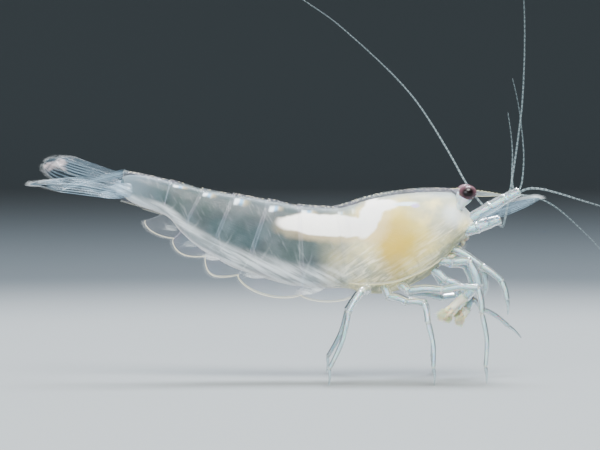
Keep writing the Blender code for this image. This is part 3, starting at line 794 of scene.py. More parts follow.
def limb_cuticle(colours):
    """Thin clear tube of chitin round a limb, wet and glossy, whiter towards each joint."""
    made, tree = start_material("clear limb cuticle")
    place = add_node(tree, "TexCoord", result="Object")
    along, _ = piece_shares(tree)
    to_end = add_node(tree, "Math", (along, 0.5), operation="PINGPONG")
    joint = mask(tree, (to_end, 0.20, 0.06))
    cloud = add_node(tree, "TexNoise", {"Vector": place, "Scale": 2.6 / MM, "Detail": 3.0})
    bump = add_node(tree, "Bump", {"Strength": 0.12, "Distance": 0.02 * MM, "Height": cloud})
    finish_material(
        tree,
        {
            "Base Color": coat(tree, colours.limb, linear("#E4E9DF"), joint),
            "Roughness": 0.24,
            "IOR": 1.34,
            "Transmission Weight": add_node(tree, "MapRange", (joint, 0.0, 1.0, 0.88, 0.6)),
            "Normal": bump,
        },
    )
    return made


def soft_white(name, colour, shade, grain, roughness=0.5, spread=0.25):
    """Milky tissue with fine mottling, so many grains to the millimetre; light spreads a little
    inside it."""
    made, tree = start_material(name)
    place = add_node(tree, "TexCoord", result="Object")
    cloud = add_node(tree, "TexNoise", {"Vector": place, "Scale": grain / MM, "Detail": 4.0})
    mottle = add_node(tree, "MapRange", (cloud, 0.35, 0.65, 0.0, 1.0))
    bump = add_node(tree, "Bump", {"Strength": 0.2, "Distance": 0.02 * MM, "Height": cloud})
    finish_material(
        tree,
        {
            "Base Color": coat(tree, shade, colour, mottle),
            "Roughness": roughness,
            "Subsurface Weight": 0.6,
            "Subsurface Scale": spread * MM,
            "Normal": bump,
        },
    )
    return made


def fin_membrane(name, ribs, haze, patches=0.0):
    """Two thin sheets of clear chitin, stiffened by fine ribs that fan out to the edge; the gaps
    stay clear, and milky pink patches may lie towards the tip."""
    made, tree = start_material(name)
    place = add_node(tree, "TexCoord", result="Object")
    along, across = piece_shares(tree)
    cloud = add_node(tree, "TexNoise", {"Vector": place, "Scale": 0.9 / MM, "Detail": 4.0})
    # 8 ribs across a blade, about 0.2 mm apart: a few of the real ones drawn wide enough to show.
    bent = add_node(tree, "Math", (cloud, 0.05, across), operation="MULTIPLY_ADD")
    turned = add_node(tree, "Math", (bent, 8 * 2 * math.pi), operation="MULTIPLY")
    wave = add_node(tree, "Math", [turned], operation="SINE")
    broken = mask(tree, (wave, -0.1, 0.7), (cloud, 0.3, 0.6, ribs))
    to_side = add_node(tree, "Math", (across, 0.5), operation="PINGPONG")
    rim = mask(tree, (to_side, 0.035, 0.008, 0.8 * ribs))
    middle = mask(tree, (to_side, 0.45, 0.49, ribs))
    stiff = add_node(tree, "Math", (rim, middle), operation="MAXIMUM")
    lines = add_node(tree, "Math", (stiff, broken), operation="MAXIMUM")
    spots = add_node(tree, "TexNoise", {"Vector": place, "Scale": 1.3 / MM, "Detail": 2.0})
    patch = mask(tree, (spots, 0.34, 0.72, patches), (along, 0.50, 0.80))
    drawn = add_node(tree, "Math", (lines, patch), operation="MAXIMUM")
    root = mask(tree, (along, 0.30, 0.0, 0.4 * ribs))
    hazy = add_node(tree, "Math", (root, haze), operation="ADD")
    body = add_node(tree, "Math", (hazy, drawn), operation="ADD")
    thin = add_node(tree, "Math", (body, 0.9), operation="MINIMUM")
    colour = coat(tree, linear("#2A3A46"), linear("#86A2B4"), (wave, -0.2, 0.9))
    if patches:
        colour = coat(tree, colour, linear("#EADADB"), (patch, 0.02, 0.20, 0.8))
    bump = add_node(tree, "Bump", {"Strength": 0.4, "Distance": 0.03 * MM, "Height": wave})
    finish_material(
        tree,
        {
            "Base Color": colour,
            "Alpha": mask(tree, thin, (along, 0.0, 0.06)),
            "Roughness": 0.22,
            "Specular IOR Level": 0.25,
            "Normal": bump,
        },
    )
    return made


def ringed_chitin(colours, rings):
    """A chain of small chitin rings, see-through and dimmer towards the tip, darker at each
    parting."""
    made, tree = start_material("ringed feeler " + str(rings))
    along, _ = piece_shares(tree)
    counted = add_node(tree, "Math", (along, float(rings)), operation="MULTIPLY")
    within = add_node(tree, "Math", (counted, 0.5), operation="PINGPONG")
    band = mask(tree, (within, 0.05, 0.30))
    body = add_node(tree, "MapRange", (band, 0.0, 1.0, 0.24, 0.36))
    thin = add_node(tree, "MapRange", (along, 0.0, 0.7, 1.0, 0.38))
    finish_material(
        tree,
        {
            "Base Color": coat(tree, linear("#6F8288"), colours.feeler, band),
            "Alpha": mask(tree, body, thin),
            "Roughness": 0.35,
            "IOR": 1.5,
        },
    )
    return made


def faceted_lenses(colours):
    """A compound eye: hundreds of clear lenses over dark red pigment, darkest where they face
    straight out, with a pale ring at the stalk."""
    made, tree = start_material("faceted eye under clear lenses")
    place = add_node(tree, "TexCoord", result="Object")
    _, outwards = piece_shares(tree)  # 0 at the stalk, 1 in the middle of the outer face
    mottle = add_node(tree, "TexNoise", {"Vector": place, "Scale": 5.2 / MM, "Detail": 3.0})
    seen = add_node(tree, "Math", (mottle, 0.10, outwards), operation="MULTIPLY_ADD")
    depth = add_node(tree, "ValToRGB", [seen])
    grade(
        depth,
        (
            (0.15, linear("#D6D0D2")),
            (0.28, linear("#7C6870")),
            (0.72, colours.eye),
            (0.84, linear("#3A292E")),
            (0.89, colours.pupil),
            (0.95, colours.pupil),
        ),
    )
    lenses = add_node(
        tree, "TexVoronoi", {"Vector": place, "Scale": 16 / MM}, feature="DISTANCE_TO_EDGE"
    )
    bump = add_node(tree, "Bump", {"Strength": 0.35, "Distance": 0.02 * MM, "Height": lenses})
    finish_material(
        tree,
        {
            "Base Color": depth,
            "Roughness": 0.3,
            "Specular IOR Level": 0.15,
            "Coat Weight": 0.2,
            "Coat Roughness": 0.03,
            "Normal": bump,
        },
    )
    return made


def bristle_chitin():
    """Solid chitin hair, so thin that it reads as a pale thread."""
    made, tree = start_material("chitin bristle")
    place = add_node(tree, "TexCoord", result="Object")
    cloud = add_node(tree, "TexNoise", {"Vector": place, "Scale": 1.5 / MM})
    colour = coat(tree, linear("#C9D6DA"), linear("#FFFFFF"), cloud)
    finish_material(tree, {"Base Color": colour, "Roughness": 0.4, "Alpha": 0.3})
    return made


def veil(name, colour, most, roughness=0.5):
    """Soft tissue so thin that it is a milky veil, at most so dense, in wisps along its length
    and melting away at both ends."""
    made, tree = start_material(name)
    place = add_node(tree, "TexCoord", result="Object")
    along, _ = piece_shares(tree)
    wisps = mask(tree, (streaks(tree, place, 20, 1.0, 0.15, 0.5), 0.4, 0.65))
    dense = add_node(tree, "Math", (wisps, 0.6 * most, 0.4 * most), operation="MULTIPLY_ADD")
    alpha = mask(tree, dense, mask(tree, (along, 0.0, 0.25), (along, 1.0, 0.6)))
    finish_material(tree, {"Base Color": colour, "Roughness": roughness, "Alpha": alpha})
    return made


def studio_paper(colour, surround):
    """Matt seamless paper with a very faint tooth, pale under the animal and darker further out."""
    made, tree = start_material("matt graduated paper")
    place = add_node(tree, "TexCoord", result="Object")
    away = add_node(tree, "VectorMath", [place], operation="LENGTH")
    shade = coat(tree, colour, surround, (away, 46 * MM, 125 * MM))
    tooth = add_node(tree, "TexNoise", {"Vector": place, "Scale": 2.5 / MM, "Detail": 2.0})
    bump = add_node(tree, "Bump", {"Strength": 0.05, "Distance": 0.02 * MM, "Height": tooth})
    finish_material(tree, {"Base Color": shade, "Roughness": 0.85, "Normal": bump})
    return made


# ---------------------------------------------------------------- body shapes


def section_point(row, angle, inset=0.0, widest=WIDEST_AT, full=1.0):
    """A point of a body section, set in by so much: angle 0 is the middle of the back, 180
    degrees the belly. Widest says how far down it is widest, and a full below 1 makes the lower
    half boxier."""
    back_x, back_z, belly_x, belly_z, half_width = row[:5]
    back, belly = Vector((back_x, 0, back_z)), Vector((belly_x, 0, belly_z))
    rise = math.cos(angle)
    share = widest * (1 - rise) if rise > 0 else widest - (1 - widest) * rise
    place = back.lerp(belly, share)
    wide = math.sin(angle)
    if rise < 0 and full < 1:
        wide = math.copysign(abs(wide) ** full, wide)
    place.y = half_width * wide * (1 - 0.10 * max(0.0, rise))
    return place + (back.lerp(belly, 0.5) - place).normalized() * inset


def tail_row(place):
    """The joint table at a place counted in tail segments, 0 at the shield and 6 at the fan."""
    return between((*TAIL_JOINTS, TAIL_END), place)


def plate_point(segment, share, w, lift):
    """A point of a tail plate: share runs back along the segment, w from 0 on the back to 1 at
    the left flap's edge, or -1 at the right one's."""
    row = tail_row(segment + share)
    back, belly, edge = (Vector((row[i], 0, row[i + 1])) for i in (0, 2, 4))
    half_width, side, reach = row[6], math.copysign(1.0, w), abs(w)
    arch = 0.64  # share of the plate's half that curves; the rest is the flap
    if reach <= arch:
        angle = math.radians(90) * reach / arch
        place = back.lerp(belly, 1 - math.cos(angle))
        out = half_width * math.sin(angle)
        push = Vector((0, side * math.sin(angle), 0)) + (back - belly).normalized() * math.cos(angle)
    else:
        bulge = 0.10 if side > 0 else 0.0
        if 0 < share < 1:
            bulge += LOBE_DEPTHS[segment] * math.sin(math.pi * share**1.15) ** 0.7
        edge = edge + (edge - belly).normalized() * bulge
        down = (reach - arch) / (1 - arch)
        place = belly.lerp(edge, down)
        out = half_width * (1 - 0.07 * down * down)
        push = Vector((0, side, 0))
    place.y = side * out
    return place + push * lift


class ShrimpOperator:
    """What every step of the model shares: its undo, sizes and colours."""

    bl_options = {"REGISTER", "UNDO"}

    @property
    def sizes(self):
        """Sizes as the user has them, in metres."""
        return bpy.context.scene.shrimp_sizes

    @property
    def colours(self):
        """Colours as the user has them."""
        return bpy.context.scene.shrimp_colours


class SHRIMP_OT_flesh(ShrimpOperator, bpy.types.Operator):
    """Models the flesh of trunk and tail in one skin, from the face to the tail fan"""

    bl_idname = "shrimp.flesh"
    bl_label = "Flesh"

    def execute(self, context):
        gap = self.sizes.plate_clearance / MM
        rows = [(*row, WIDEST_AT) for row in reversed(SHIELD[1:])]
        for row, drop in zip((*TAIL_JOINTS, TAIL_END), BELLY_DROPS):
            rows.append((*row[:3], row[3] - drop, row[6] * 0.97, 0.64))

        def place(u, v):
            section, angle = FLESH_SPANS * u, 2 * math.pi * v
            row = between(rows, section)
            near_end = min(1.0, u / 0.02, (1 - u) / 0.036)
            ends = 0.25 + 0.75 * math.sqrt(1 - (1 - near_end) ** 2)
            # The back stays clear: the plates stand well off the flesh there.
            on_back, on_belly = (max(0.0, way * math.cos(angle)) ** 2 for way in (1, -1))
            inset = gap + on_back * (0.12 - 0.20 * ramp(section, 9.5, 12.0))
            inset -= 0.13 * on_belly * ramp(section, 15.2, 16.2)
            if section > 12:  # each ring of the tail swells between its joints
                inset += 0.04 - 0.05 * math.sin(math.pi * (section % 1.0)) ** 0.8
            full = 1.0 - 0.5 * ramp(section, 10.0, 12.0) * ramp(section, 17.0, 15.5)
            point = section_point(row, angle, inset, row[5], full)
            middle = Vector(((row[0] + row[2]) / 2, 0, (row[1] + row[3]) / 2))
            return middle.lerp(point, ends)

        flesh = sheet("flesh", (216, 56), place, milky_flesh(self.colours))
        merge(flesh, 0.002)
        edit(
            flesh,
            (bpy.ops.mesh.select_all, {"action": "DESELECT"}),
            (bpy.ops.mesh.select_non_manifold, {}),
            (bpy.ops.mesh.edge_face_add, {}),
            (bpy.ops.mesh.select_all, {"action": "SELECT"}),
            (bpy.ops.mesh.normals_make_consistent, {"inside": False}),
        )
        smooth(flesh)
        fit(flesh, "shell", "breast")
        return {"FINISHED"}


class SHRIMP_OT_mouth(ShrimpOperator, bpy.types.Operator):
    """Models the upper lip, the jaws and the small hairy jaw-legs round the mouth"""

    bl_idname = "shrimp.mouth"
    bl_label = "Mouthparts"

    def execute(self, context):
        finish = soft_white(
            "milky mouthpart", linear("#EFEBD9"), linear("#B5B294"), grain=2.6, roughness=0.35
        )
        chance = random.Random(context.scene.shrimp_studio.seed + 4)
        lip = [(9.60, 0.0, 8.80), (9.92, 0.0, 8.66), (9.96, 0.0, 8.36)]
        pieces = [tube("upper_lip", lip, pebble(0.26, taper=0.3), 14, 16, finish)]
        places = []
        for sign in SIDES.values():
            for line, thick in (  # the jaw, then the two pairs of small jaw-legs behind it
                (((9.45, 0.30, 8.50), (9.78, 0.40, 8.34), (9.74, 0.14, 8.04)), 0.20),
                (((8.95, 0.42, 7.86), (9.38, 0.58, 7.86), (9.66, 0.44, 7.98)), 0.21),
                (((8.60, 0.46, 7.42), (9.02, 0.66, 7.44), (9.32, 0.52, 7.60)), 0.22),
            ):
                line = mirrored(line, sign)
                radius = pebble(1.1 * thick, taper=0.45)
                pieces.append(tube("jaw", line, radius, 16, 14, finish, flat=0.7))
                start, end = Vector(line[0]), Vector(line[-1])
                for _ in range(90):
                    root = start.lerp(end, chance.uniform(0.3, 0.95))
                    spans = ((0.2, 1), (-0.6, 0.6), (-1, 0.2))  # forwards, sideways and down
                    out = Vector([chance.uniform(*span) for span in spans])
                    places.append((root, out.normalized() * chance.uniform(0.28, 0.42), out * 0.05))
        fit(smooth(join("mouthparts", pieces), 70), "shell")
        hair = bristle_chitin()
        fit(plant("mouthpart_hairs", places, self.sizes.bristle_width / MM, hair), "shell")
        return {"FINISHED"}


def front_margin(w):
    """Where the shield's front edge lies, counted in sections, for w from 0 on the back to 1."""
    stops = (
        (0.0, 8.85), (0.14, 8.70), (0.30, 8.35), (0.40, 8.55), (0.47, 9.15), (0.53, 8.95),
        (0.75, 8.55), (0.90, 7.75), (1.0, 6.70),
    )  # fmt: skip
    for (a, start), (b, end) in zip(stops, stops[1:]):
        if w <= b:
            return start + (end - start) * ramp(w, a, b)
    return stops[-1][1]


class SHRIMP_OT_shield(ShrimpOperator, bpy.types.Operator):
    """Models the clear head shield and the toothed beak"""

    bl_idname = "shrimp.shield"
    bl_label = "Head shield"

    def execute(self, context):
        cuticle = clear_cuticle(
            "clear shield cuticle", self.colours, clear=0.03, rims=0.6, rim_shares=(60, 90),
            end_rims=0.0, seam=0.075,
        )  # fmt: skip

        def place(u, v):
            w = abs(2 * v - 1)
            start = -0.30 + 0.25 * w
            row = between(SHIELD, start + (front_margin(w) - start) * u)
            lift = 0.02 + 0.03 * (1 - ramp(u, 0.0, 0.10)) + 0.03 * ramp(u, 0.95, 1.0)
            lift += 0.04 * ramp(w, 0.93, 1.0)
            return section_point(row, SHIELD_MARGIN * (2 * v - 1), -lift)

        shield = sheet("head_shield", (72, 64), place, cuticle)
        wall(shield, self.sizes.plate_thickness)
        fit(shield, "shell", "carapace")

        root_high, root_low = Vector((9.00, 0, 11.50)), Vector((9.50, 0, 11.10))
        tip = Vector((12.30, 0, 11.08))

        def beak(u, v):
            bow = math.sin(math.pi * u)
            sag = Vector((0, 0, 0.06 * bow * v - 0.08 * bow * (1 - v)))
            # 15 teeth along the upper edge, lower towards root and tip.
            teeth = 0.075 * ((u * 15) % 1.0) * ramp(v, 0.8, 1.0)
            teeth *= ramp(u, 0.0, 0.15) * (1 - ramp(u, 0.85, 1))
            place = root_low.lerp(tip, u).lerp(root_high.lerp(tip, u), v) + sag
            return place + Vector((0.3 * teeth, 0, teeth))

        horn = clear_cuticle(
            "clear beak cuticle", self.colours, clear=0.14, rims=0.45, rim_shares=(8, 60),
            end_rims=0.0,
        )  # fmt: skip
        blade = sheet("beak", (75, 10), beak, horn)
        wall(blade, THICK_BLADE * MM, offset=0.0)
        fit(blade, "shell", "rostrum")
        return {"FINISHED"}


class SHRIMP_OT_tail(ShrimpOperator, bpy.types.Operator):
    """Models the six overlapping tail plates with their side flaps"""

    bl_idname = "shrimp.tail"
    bl_label = "Tail plates"

    def execute(self, context):
        cuticle = clear_cuticle(
            "clear tail plate", self.colours, clear=0.02, rims=0.75, rim_shares=(210, 34),
            end_rims=0.05, seam=0.055,
        )  # fmt: skip
        hair = bristle_chitin()
        places = []
        for segment in range(5):

            def place(u, v):
                w = 1 - 2 * v
                flap = ramp(abs(w), 0.60, 0.85)
                share = -0.03 + u * (1.03 + 0.07 * (1 - flap))
                lift = -0.02 + 0.09 * u * (1 - 0.5 * flap) + FLAP_STAND[segment] * flap
                return plate_point(segment, share, -w, lift)

            plate = sheet(f"tail_plate_{segment + 1}", (26, 72), place, cuticle)
            edit(plate, (bpy.ops.mesh.flip_normals, {}))
            wall(plate, self.sizes.plate_thickness)
            fit(plate, "shell", f"tail_segment_{segment + 1}")
            for side in SIDES.values():
                for i in range(42):  # short hairs all along the flap's edge
                    share = (i + 0.5) / 42
                    root = place(share, 0.5 + 0.4995 * side)
                    above = place(share, 0.5 + 0.48 * side)
                    reach = (root - above).normalized() * 0.16 + Vector((-0.06, 0, 0))
                    places.append((root - reach * 0.1, reach, Vector((-0.05, 0, 0.02))))
        fringe = plant("flap_fringe", places, self.sizes.bristle_width / MM, hair)
        fit(fringe, "shell")

        def barrel(u, v):
            angle = 2 * math.pi * v + math.pi
            # The rear edge is cut forward at the sides, where the uropods swing.
            cut = 0.15 * math.sin(angle) ** 4 + 0.11 * max(0.0, math.cos(angle)) ** 2
            row = tail_row(5.02 + u * (0.99 - cut))
            back, belly = Vector((row[0], 0, row[1])), Vector((row[2], 0, row[3]))
            if u < 0.5:  # at first it closes above the flaps of the segment before
                belly = Vector((-8.25, 0, 9.90)).lerp(Vector((-10.74, 0, 10.74)), u)
            place = back.lerp(belly, (1 - math.cos(angle)) / 2)
            place.y = row[6] * 0.97 * math.sin(angle)
            middle = back.lerp(belly, 0.5)
            swell = 1.0 + 0.05 * math.sin(math.pi * u) + 0.05 * ramp(u, 0.9, 1.0)
            return middle + (place - middle) * swell

        belted = clear_cuticle(
            "clear last tail plate", self.colours, clear=0.02, rims=0.75, rim_shares=(20, 34),
            end_rims=0.06, seam=0.09,
        )  # fmt: skip
        plate = sheet("tail_plate_6", (40, 48), barrel, belted)
        merge(plate)
        edit(plate, (bpy.ops.mesh.normals_make_consistent, {"inside": False}))
        wall(plate, self.sizes.plate_thickness)
        fit(plate, "shell", "tail_segment_6")
        return {"FINISHED"}


def leaf(share, root, widest, point):
    """Half width of a blade at a share of its length, as a share of its greatest: root is the
    width at its start, widest where it is widest, and point how much it narrows to a tip."""
    if share < widest:
        return root + (1 - root) * math.sin(math.radians(90) * share / widest)
    along = (share - widest) / (1 - widest)
    return math.sqrt(max(0.0, 1 - along**2)) * (1 - point * along)


def fan_axes():
    """The tail fan's own directions: back along it, to its right and up from it."""
    yaw, pitch, roll = (math.radians(a) for a in (FAN_YAW, FAN_PITCH, FAN_ROLL))
    axis = Vector((-math.cos(yaw), math.sin(yaw), math.sin(pitch))).normalized()
    level = axis.cross(Vector((0, 0, 1))).normalized()
    if level.y > 0:
        level.negate()
    upright = level.cross(axis)
    if upright.z < 0:
        upright.negate()
    right = level * math.cos(roll) - upright * math.sin(roll)
    return axis, right, upright * math.cos(roll) + level * math.sin(roll)


def blade_axes(name):
    """Where a fan blade starts, its directions along, across and up, and its length."""
    axis, right, up = fan_axes()
    side, splay, lift, cup, out, rise, long, _ = BLADES[name]
    hang, rise_more, splay_more, drop, longer = HANG[name]
    angles = (splay + splay_more, lift + rise_more, cup, hang)
    splay, lift, cup, hang = (math.radians(angle) for angle in angles)
    outwards = (right * side if side else right) * math.cos(cup) + up * math.sin(cup)
    raised = axis * math.cos(lift) + up * math.sin(lift)
    along = raised * math.cos(splay) + outwards * math.sin(splay)
    edge = outwards * math.cos(splay) - raised * math.sin(splay)
    normal = along.cross(edge)
    if normal.z < 0:
        normal.negate()
    root = Vector(FAN_ROOT) + outwards * out + up * (rise - drop)
    across = edge * math.cos(hang) - normal * math.sin(hang)
    return root, along, across, normal * math.cos(hang) + edge * math.sin(hang), long + longer


def face_up(blade, along, edge, normal):
    """Turns an open blade's faces to its upper side and closes its tip."""
    if normal.dot(along.cross(edge)) < 0:
        edit(blade, (bpy.ops.mesh.flip_normals, {}))
    merge(blade)


def uropod_point(share, w, wide, far):
    """How far out and up a point of an uropod lies: w runs from -1 at its inner edge to 1 at the
    outer one, which is stiff and nearly straight."""
    half = 0.5 * wide * leaf(share, 0.34, 0.70 if far else 0.5, 0.05 if far else 0.3)
    shift = 0.0 if far else 0.30 * wide * ramp(share, 0.45, 1.0)
    if w > 0:
        half = max(0.0, min(half, 0.5 * wide * (0.60 + 0.36 * share)) - shift)
    arch = 0.16 * (1 - w * w) * math.sin(math.pi * share) + 0.05 * max(0, 1 - 16 * w * w)
    return half * w + shift, arch


def telson_point(share, w, wide):
    """How far out and up a point of the telson lies."""
    half = 0.5 * wide * leaf(share, 0.95, 0.15, 0.45)
    return half * w, 0.22 * (1 - w * w) * (1 - 0.5 * share)


class SHRIMP_OT_fan(ShrimpOperator, bpy.types.Operator):
    """Models the telson and the four ribbed uropods with their fringes"""

    bl_idname = "shrimp.fan"
    bl_label = "Tail fan"

    def execute(self, context):
        far_fins = fin_membrane("ribbed far fin", ribs=0.09, haze=0.08, patches=0.26)
        finishes = {
            "uropod_outer_right": fin_membrane("ribbed near fin", ribs=0.42, haze=0.02),
            "uropod_inner_right": fin_membrane("ribbed inner fin", ribs=0.12, haze=0.02),
            "uropod_outer_left": far_fins,
            "uropod_inner_left": far_fins,
            "telson": fin_membrane("ribbed telson", ribs=0.22, haze=0.07),
        }
        hair = bristle_chitin()
        chance = random.Random(context.scene.shrimp_studio.seed)
        for name, (side, *_, wide) in BLADES.items():
            root, along, edge, normal, long = blade_axes(name)

            def place(u, v):
                share, w = math.sin(math.radians(90) * u), 2 * v - 1
                if side:
                    out, arch = uropod_point(share, w, wide, far=side < 0)
                else:
                    out, arch = telson_point(share, w, wide)
                return root + along * (long * share) + edge * out + normal * (arch - 0.05)

            blade = sheet(name + "_blade", (44, 36 if side else 20), place, finishes[name])
            face_up(blade, along, edge, normal)
            wall(blade, self.sizes.fin_thickness if side else THICK_BLADE * MM, offset=0.0)
            fit(blade, "fin", name)
            # Hairs all round an uropod's outer half, and only at the telson's tip.
            count, bare, longest = (44, 0.42, 0.62) if side else (12, 0.80, 0.4)
            reach = self.sizes.fringe_length / MM * longest
            places = []
            for i in range(count):
                for v in (0.0, 1.0):
                    u = bare + (0.995 - bare) * (i + 0.5) / count
                    spot = place(u, v)
                    away = (spot - place(u, 0.5)).normalized() * (1 - ramp(u, 0.8, 1.0) * 0.5)
                    lean = (away + along * 1.6 + normal * chance.uniform(-0.12, 0.12)).normalized()
                    grown = reach * ramp(u, 0.2, 0.85) * chance.uniform(0.8, 1.05)
                    places.append((spot - lean * 0.03, lean * grown, along * 0.08 * grown))
            fit(plant(name + "_fringe", places, self.sizes.bristle_width / MM, hair), "fin")
        return {"FINISHED"}


class SHRIMP_OT_fan_roots(ShrimpOperator, bpy.types.Operator):
    """Models the stout joints that carry the uropods"""

    bl_idname = "shrimp.fan_roots"
    bl_label = "Tail fan roots"

    def execute(self, context):
        finish = veil("milky uropod root", linear("#A8C0D2"), most=0.7, roughness=0.25)
        axis, right, up = fan_axes()
        for side, sign in SIDES.items():
            out = right * -sign
            root = Vector(FAN_ROOT) + out * 0.22 - up * 0.12 - axis * 0.55
            # A short stout block, drawn out into a lobe under the outer blade.
            lobes = (
                (0.60, root, root + axis * 1.50 + out * 0.22 - up * 0.05),
                (0.40, root + axis * 0.3 - up * 0.22, root + axis * 2.1 + out * 0.42 - up * 0.36),
            )
            pieces = [
                tube("knuckle", [start, start.lerp(end, 0.5) - up * 0.05, end],
                     pebble(size, taper=0.4), 20, 24, finish, flat=0.75)
                for size, start, end in lobes
            ]  # fmt: skip
            fit(smooth(join(f"uropod_root_{side}", pieces), 70), "fin")
        return {"FINISHED"}


def mirrored(points, sign):
    """Points of the left side, laid on the side of the sign."""
    return [(p[0], p[1] * sign, *p[2:]) for p in points]


def stalk_radius(share):
    """Radius along an eyestalk, which swells into a cup that holds the eye."""
    rim = max(0, (share - 0.9) / 0.1)
    return (0.25 + 0.19 * ramp(share, 0.35, 0.95)) * math.sqrt(max(0, 1 - rim**2))


class SHRIMP_OT_eyes(ShrimpOperator, bpy.types.Operator):
    """Models the faceted eyes and their stalks"""

    bl_idname = "shrimp.eyes"
    bl_label = "Eyes"

    def execute(self, context):
        eye_finish = faceted_lenses(self.colours)
        stalk_finish = soft_white(
            "milky eyestalk", self.colours.muscle, linear("#B9CBD3"), grain=1.8, roughness=0.35
        )
        for side, sign in SIDES.items():
            centre = Vector((EYE_CENTRE[0], EYE_CENTRE[1] * sign, EYE_CENTRE[2]))
            outer = Vector((0.02, sign, 0.05)).normalized()
            across = outer.cross(Vector((0, 0, 1))).normalized()
            up = across.cross(outer)

            def place(u, v):
                angle, rise = 2 * math.pi * u, math.pi * v
                ball = (
                    across * (math.sin(rise) * math.cos(angle))
                    + up * (math.sin(rise) * math.sin(angle))
                    - outer * math.cos(rise)
                )
                return centre + Vector(ball[i] * EYE_RADII[i] for i in range(3))

            eye = weld(sheet(f"faceted_eye_{side}", (36, 24), place, eye_finish))
            fit(smooth(eye, 80), "eye", f"eye_{side}")
            line = mirrored(((9.30, 0.70, 10.10), (9.62, 1.02, 10.62), (9.92, 1.30, 11.14)), sign)
            stalk = tube(f"stalk_of_eye_{side}", line, stalk_radius, 18, 20, stalk_finish)
            fit(smooth(stalk, 80), "shell", f"eyestalk_{side}")
        return {"FINISHED"}


def jointed(name, joints, skin, core, bend=0.06, fill=0.66):
    """A limb of clear tubular segments, each a little inside the last, with a milky core that
    fills so much of it. Bend is how far a segment bows, as a share of its length."""
    pieces = []
    for number, (a, b) in enumerate(zip(joints, joints[1:])):
        start, end = Vector(a[:3]), Vector(b[:3])
        end.z = max(end.z, 0.03)  # the tip's own thickness stays above the ground
        ahead = (end - start).normalized()
        tip = b[3] < 0.08
        over = 0.5 * (a[3] if tip else min(a[3], b[3]))
        bow = bend * (end - start).length
        bow = Vector((bow, 0, 0) if abs(ahead.z) > 0.8 else (0, 0, bow))
        line = [start - ahead * over * 0.4, (start + end) / 2 + bow, end + ahead * (0 if tip else over)]
        steps = max(10, int((end - start).length / 0.12))
        skin_radius = bone(a[3], b[3], neck=0.10, flare=0.0 if tip else 0.12)
        pieces.append(tube(f"{name}_{number}", line, skin_radius, steps, 14, skin))
        if not tip:
            inner = bone(a[3] * fill, b[3] * fill, neck=0.3, flare=-0.25)
            pieces.append(tube(f"{name}_core_{number}", line, inner, max(8, steps // 2), 10, core))
    return pieces


def leg_bristles(joints, chance, spacing, size):
    """Hairs that lean towards the tip, in loose rows along all segments but the first two."""
    places = []
    for number in range(2, len(joints) - 1):
        a, b = joints[number], joints[number + 1]
        start, end = Vector(a[:3]), Vector(b[:3])
        ahead = (end - start).normalized()
        side = ahead.orthogonal().normalized()
        other = ahead.cross(side)
        for i in range(int((end - start).length / spacing)):
            share = (i + chance.random()) * spacing / (end - start).length
            turn = chance.uniform(0, 2 * math.pi)
            out = side * math.cos(turn) + other * math.sin(turn)
            radius = a[3] + (b[3] - a[3]) * share
            root = start.lerp(end, min(share, 1)) + out * radius * 0.8
            reach = (out + ahead * 0.9).normalized() * size * chance.uniform(0.6, 1.1)
            places.append((root, reach, ahead * size * 0.3))
    return places


class SHRIMP_OT_legs(ShrimpOperator, bpy.types.Operator):
    """Models the walking legs, the claw-bearing legs and the third jaw-legs"""

    bl_idname = "shrimp.legs"
    bl_label = "Legs"

    def execute(self, context):
        skin = limb_cuticle(self.colours)
        core = soft_white("milky limb muscle", self.colours.muscle, linear("#B7CAD1"), grain=1.6)
        palm = soft_white(
            "milky claw palm", linear("#FFF6DC"), linear("#DCD9C4"), grain=1.8, roughness=0.25,
            spread=0.15,
        )  # fmt: skip
        tuft = soft_white(
            "cream claw brush", linear("#FFF8DC"), linear("#EEDDB0"), grain=3.0, spread=0.04
        )
        hair = bristle_chitin()
        chance = random.Random(context.scene.shrimp_studio.seed + 1)
        width = self.sizes.bristle_width / MM
        for name, joints in LIMBS.items():
            joints = mirrored(joints, SIDES[name.split("_")[-1]])
            limb = smooth(join(name + "_limb", jointed(name, joints, skin, core)), 60)
            fit(limb, "limb", name)
            jaw = name.startswith("maxilliped")
            spacing, size = (0.05, 0.34) if jaw else (0.13, 0.22)
            places = leg_bristles(joints, chance, spacing, size)
            fit(plant(name + "_hairs", places, width, hair), "limb")
        for name, joints in CLAW_LIMBS.items():
            joints = mirrored(joints, SIDES[name.split("_")[-1]])
            pieces = jointed(name, joints[:-1], skin, core, fill=0.74)
            pieces[-2].data.materials[0] = palm  # the skin of the last segment, the palm
            root, tip, size = Vector(joints[-2][:3]), Vector(joints[-1][:3]), joints[-2][3]
            ahead = (tip - root).normalized()
            across = ahead.cross(Vector((0, 1, 0))).normalized() * size
            for way in (-1, 1):  # two fingers that bow apart and meet again at their tips
                line = [
                    root + across * way * 0.45,
                    root.lerp(tip, 0.5) + across * way * 0.62,
                    tip + across * way * 0.18,
                ]
                radius = bone(size * 0.52, size * 0.22, neck=0.0, flare=0.0)
                pieces.append(tube(f"{name}_finger", line, radius, 14, 12, tuft))
            fit(smooth(join(name + "_limb", pieces), 60), "limb", name)
            places = []
            for _ in range(640):
                share = chance.uniform(0.30, 1.0)
                way = chance.choice((-1, 1))
                spot = root.lerp(tip, share) + across * way * 0.3
                out = Vector([chance.uniform(-1, 1) for _ in range(3)])
                reach = (ahead * 1.5 + out * 0.7).normalized() * chance.uniform(0.28, 0.5)
                places.append((spot, reach, out * 0.08))
            fit(plant(name + "_brush", places, width * 3.2, tuft), "limb")
        return {"FINISHED"}


def ringed(rings, base, tip):
    """Radius along a feeler of so many rings, which tapers from its base to its tip."""

    def radius(share):
        swell = 1.0 + 0.06 * math.cos(2 * math.pi * rings * share)
        close = 1.0 if 0 < share < 1 else 0.0
        return 0.5 * (base + (tip - base) * share**0.7) * swell * close

    return radius


